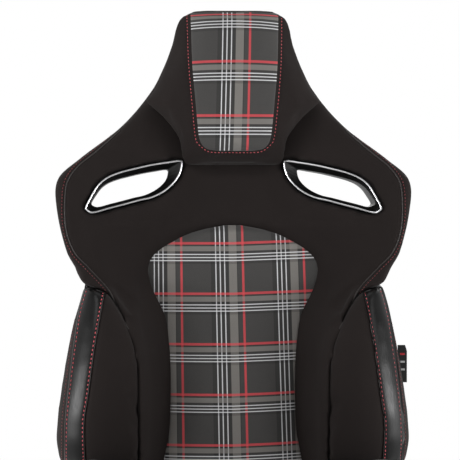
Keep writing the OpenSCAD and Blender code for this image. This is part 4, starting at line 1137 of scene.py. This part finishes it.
@dataclass
class Headrest:
    """The headrest's pillow and its plaid panel. Heights are in millimetres over the pivot."""

    grain: float = 3.6 * MM
    puff: float = 5 * MM
    panel_low: float = 527.0
    panel_high: float = 741.0
    across: float = 2.0
    rows: int = 100
    red_x: float = 24.4
    red_row: float = 59.1
    lean: float = 0.024
    upright_at: float = 665.7
    arch: float = 0.00085
    arch_foot: float = 581.0
    arch_reach: float = 160.0
    repeat: float = 84.0

    def build(self) -> None:
        """Makes the pillow, its panel and its stitching."""
        pillow = skin("head_pillow", "head_pillow_cover", self.grain)
        relaxed(pillow, 12)
        trued(pillow, BACK_HALF, 625, 742, band=16)
        back = max(v.co.y for v in pillow.data.vertices) - 3 * MM
        puffed(pillow, lambda co: self.puff, lambda co: co.y > back)
        refined(pillow)
        edge = flowing(HEAD_SEAM)
        creased(pillow, sewn_lines(pillow, [edge], Side, self.across), 1.2 * MM, 3.5 * MM)
        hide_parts("head_pillow")
        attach(pillow, BACKREST)
        surface = Surface(pillow)
        rows = [laid(surface, edge, side, self.across) for side in Side]
        stitches = Stitching(5.6 * MM, 3.4 * MM, 1.25 * MM, 0.9 * MM).sew("head_stitching", rows)
        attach(stitches, BACKREST)
        self.panel(surface)

    def panel(self, surface: Surface) -> None:
        """Lays the plaid panel on the pillow, with its plaid measured up along the cloth."""
        def place(u: float, v: float) -> Vector:
            z = self.panel_low + (self.panel_high - self.panel_low) * v ** 1.25
            felt = surface.nearest_front(smooth(HEAD_PANEL_HALF, z) * u + self.across, z)
            raised = 0.3 + 1.6 * (1 - abs(u) ** 6)
            return felt[0] + Vector((0, -raised * MM, 0))

        middle = [place(0.0, k / self.rows) for k in range(self.rows + 1)]
        travelled = [0.0]
        for before, after in zip(middle, middle[1:]):
            travelled.append(travelled[-1] + (after - before).length / MM)

        def cloth(u: float, v: float, at: Vector) -> Point:
            x, z = off_pivot(at)
            across = x + self.lean * (self.upright_at - z) - self.red_x
            arch = self.arch * max(0.0, (z - self.arch_foot) / self.arch_reach) * x * x
            up = travelled[round(v * self.rows)] + arch - self.red_row
            return across / DM, up / DM * Plaid.down / self.repeat

        panel = panelled("head_centre", 44, self.rows, place, cloth, 2.5 * MM, PLAID)
        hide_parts("head_panel")
        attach(panel, BACKREST)


@dataclass
class SideTag:
    """A folded woven label in the seam of one bolster. Its edge and waves are in millimetres."""

    inset: float = 5.5
    slant: float = 3.0
    slant_share: float = 0.15
    wave: float = 0.6

    def build(self) -> None:
        """Makes the label in the space of its node."""
        low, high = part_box("side_tag")
        middle = (low.y + high.y) / 2

        def place(u: float, v: float) -> Vector:
            z = low.z + (high.z - low.z) * v
            inner = low.x + (high.x - low.x) * 0.1 * (1 - v)
            cut = self.slant * max(0.0, v - (1 - self.slant_share)) / self.slant_share
            outer = high.x - (self.inset + cut) * MM
            wave = self.wave * MM * math.sin(v * math.pi * 2)
            return Vector((inner + (outer - inner) * (u + 1) / 2, middle + wave - 0.5 * MM, z))

        def cloth(u: float, v: float, at: Vector) -> Point:
            return (u + 1) / 2 * 0.1, v * 0.58

        tag = panelled("woven_tag", 8, 24, place, cloth, 1 * MM, LABEL)
        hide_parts("side_tag")
        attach(tag, BACKREST)


# ---- Seat ----
@dataclass
class SeatCushion:
    """The seat cushion and its plaid centre, which stands over it in millimetres."""

    grain: float = 7 * MM
    puff: float = 9 * MM
    edge: float = 1.0
    crown: float = 14.0
    narrowing: float = 0.05
    red_y: float = 20.0

    def build(self) -> None:
        """Makes the cushion and its plaid centre."""
        cushion = skin("seat_pad", "seat_cushion", self.grain)
        relaxed(cushion, 14)
        low = min(v.co.z for v in cushion.data.vertices) + 4 * MM
        puffed(cushion, lambda co: self.puff, lambda co: co.z < low)
        refined(cushion)
        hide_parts("seat_pad")
        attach(cushion, SEAT_BASE)
        self.centre(Surface(cushion))

    def centre(self, surface: Surface) -> None:
        """Lays the plaid centre on the cushion."""
        low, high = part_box("seat_insert")
        middle, half = (low.y + high.y) / 2, (high.x - low.x) / 2
        reach = (high.y - low.y) / 2

        def place(u: float, v: float) -> Vector:
            w = 2 * v - 1
            x, y = half * u * (1 - self.narrowing * w * w), middle + reach * w
            felt = surface.feel(Vector((x, y, 1.0)), Vector((0, 0, -1)))
            base = felt[0].z if felt is not None else low.z
            full = (1 - abs(u) ** 4) * (1 - abs(w) ** 6)
            return Vector((x, y, base + (self.edge + self.crown * full) * MM))

        def cloth(u: float, v: float, at: Vector) -> Point:
            return (at.x / MM - RED_X) / DM, (at.y / MM - self.red_y) / DM

        panel = panelled("seat_centre", 60, 64, place, cloth, 4 * MM, PLAID)
        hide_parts("seat_insert")
        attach(panel, SEAT_BASE)


# ---- Finishes of the carried-over nodes, by their names without a side ----
NODE_FINISHES: dict[str, Material] = {
    stem: finish
    for finish, stems in (
        (STEEL, "lower_rail upper_rail side_frame seat_cross_tubes release_bar recline_lever"),
        (STEEL, "recliner_plate back_frame head_frame"),
        (ZINC, "lock_strip ball_cage seat_springs back_springs power_springs return_springs"),
        (ZINC, "frame_bolts recliner_bolts arm_bolts recliner_arm pivot_shafts sync_shaft"),
        (ZINC, "latch_lever release_cam pawl"),
        (BRONZE, "pivot_bushes"),
        (CHROME, "slot_bead"),
        (BEZEL, "slot_bezel"),
        (TRIM, "rear_bezels rail_end_caps recliner_cover lever_grip"),
        (SHELL, "back_shell"),
    )
    for stem in stems.split()
}


def dress_nodes() -> None:
    """Gives every carried-over node its finish."""
    for name, node in frame["nodes"].items():
        finish = NODE_FINISHES.get(name.removesuffix("_left").removesuffix("_right"))
        if finish is None:
            continue
        if not node.material_slots:
            node.data.materials.append(finish)
        for holder in node.material_slots:
            holder.material = finish


# ---- Studio ----
@dataclass
class Studio:
    """A pale floor, soft lamps and the camera."""

    distance: float = 6.0
    across: float = 0.713
    aim: tuple[float, float, float] = (-0.00465, 0.15, 0.5545)
    yaw: float = 1.5
    glossy: float = 0.25
    ambient: float = 0.42

    def camera(self) -> None:
        """Puts the camera in front of the backrest, level."""
        data = bpy.data.cameras.new("camera")
        data.sensor_width = 36
        data.lens = data.sensor_width * self.distance / self.across
        data.clip_end = 50
        eye = bpy.data.objects.new("camera", data)
        turn = math.radians(self.yaw)
        back = Vector((-math.sin(turn), -math.cos(turn), 0))
        eye.location = Vector(self.aim) + back * self.distance
        eye.rotation_euler = (-back).to_track_quat("-Z", "Y").to_euler()
        bpy.context.scene.collection.objects.link(eye)
        bpy.context.scene.camera = eye

    def lamp(self, name: str, place: Colour, target: Colour, size: Point, power: float) -> None:
        """Adds a soft box that shines from a place to a target."""
        data = bpy.data.lights.new(name, "AREA")
        data.shape = "RECTANGLE"
        data.size, data.size_y = size
        data.energy = power
        box = bpy.data.objects.new(name, data)
        box.location = place
        box.rotation_euler = (Vector(target) - Vector(place)).to_track_quat("-Z", "Y").to_euler()
        bpy.context.scene.collection.objects.link(box)

    def world(self) -> None:
        """A white surround for the camera and for reflections, and a softer one for light."""
        world = bpy.data.worlds.new("studio")
        bpy.context.scene.world = world
        world.use_nodes = True
        tree = world.node_tree
        path = wired(tree, "ShaderNodeLightPath").outputs
        rays = {0: path["Is Camera Ray"], 1: path["Is Transmission Ray"]}
        seen = wired(tree, "ShaderNodeMath", rays, operation="MAXIMUM").outputs[0]
        rays = {0: path["Is Glossy Ray"], 1: self.glossy, 2: seen}
        bright = wired(tree, "ShaderNodeMath", rays, operation="MULTIPLY_ADD").outputs[0]
        ranges = {"Value": bright, "To Min": self.ambient, "To Max": 1.0}
        strength = wired(tree, "ShaderNodeMapRange", ranges).outputs["Result"]
        background = tree.nodes["Background"].inputs
        background["Color"].default_value = (1, 1, 1, 1)
        tree.links.new(strength, background["Strength"])

    def floor(self) -> None:
        """A pale round floor that keeps the shadow."""
        bm = bmesh.new()
        bmesh.ops.create_circle(bm, cap_ends=True, segments=96, radius=2.2)
        s = Shader("pale_floor", (0.86, 0.86, 0.86), 0.8, Specular_IOR_Level=0.1)
        s.wire("Roughness", s.remap(s.noise(5, 2), 0.0, 1.0, 0.75, 0.85))
        path = s.node("ShaderNodeLightPath").outputs["Is Camera Ray"]
        s.surface.inputs["Emission Color"].default_value = (1, 1, 1, 1)
        s.wire("Emission Strength", s.math("MULTIPLY", path, 0.3))
        floor = add("studio_floor", to_mesh(bm, "studio_floor"), s.material)
        floor.data.transform(Matrix.Translation((0, 0, CAD_BOX[0].z - 0.001)))

    def build(self) -> None:
        """Sets up the whole studio."""
        self.camera()
        self.world()
        self.lamp("key", (-1.7, -2.2, 2.3), (0, 0.1, 0.55), (1.6, 1.6), 39)
        self.lamp("fill", (1.9, -2.0, 1.6), (0, 0.1, 0.55), (1.4, 1.8), 26)
        self.lamp("top", (0, 0.2, 2.6), (0, 0.1, 0.5), (1.8, 1.4), 14)
        self.lamp("rear", (0.4, 2.6, 1.8), (0, 0.2, 0.5), (1.8, 1.4), 22)
        for side in Side:
            place, target = (side.value * 1.9, -0.3, 0.29), (side.value * 0.2, 0.1, 0.3)
            self.lamp(f"low_{side.word}", place, target, (1.3, 0.14), 30)
        self.floor()
        bpy.context.scene.view_settings.view_transform = "Standard"


def main() -> None:
    """Builds the seat's looks in order and reports each piece."""
    logging.basicConfig(level=logging.INFO, format="%(name)s: %(message)s")
    Studio().build()
    dress_nodes()
    LOG.info("finishes of the carried-over nodes")
    sides = [OuterBolster(side) for side in Side]
    for step in (BackCover(), BackInsert(), *sides, Headrest(), SideTag(), SeatCushion()):
        step.build()
        LOG.info("%s built", type(step).__name__)


if __name__ == "__main__":
    main()
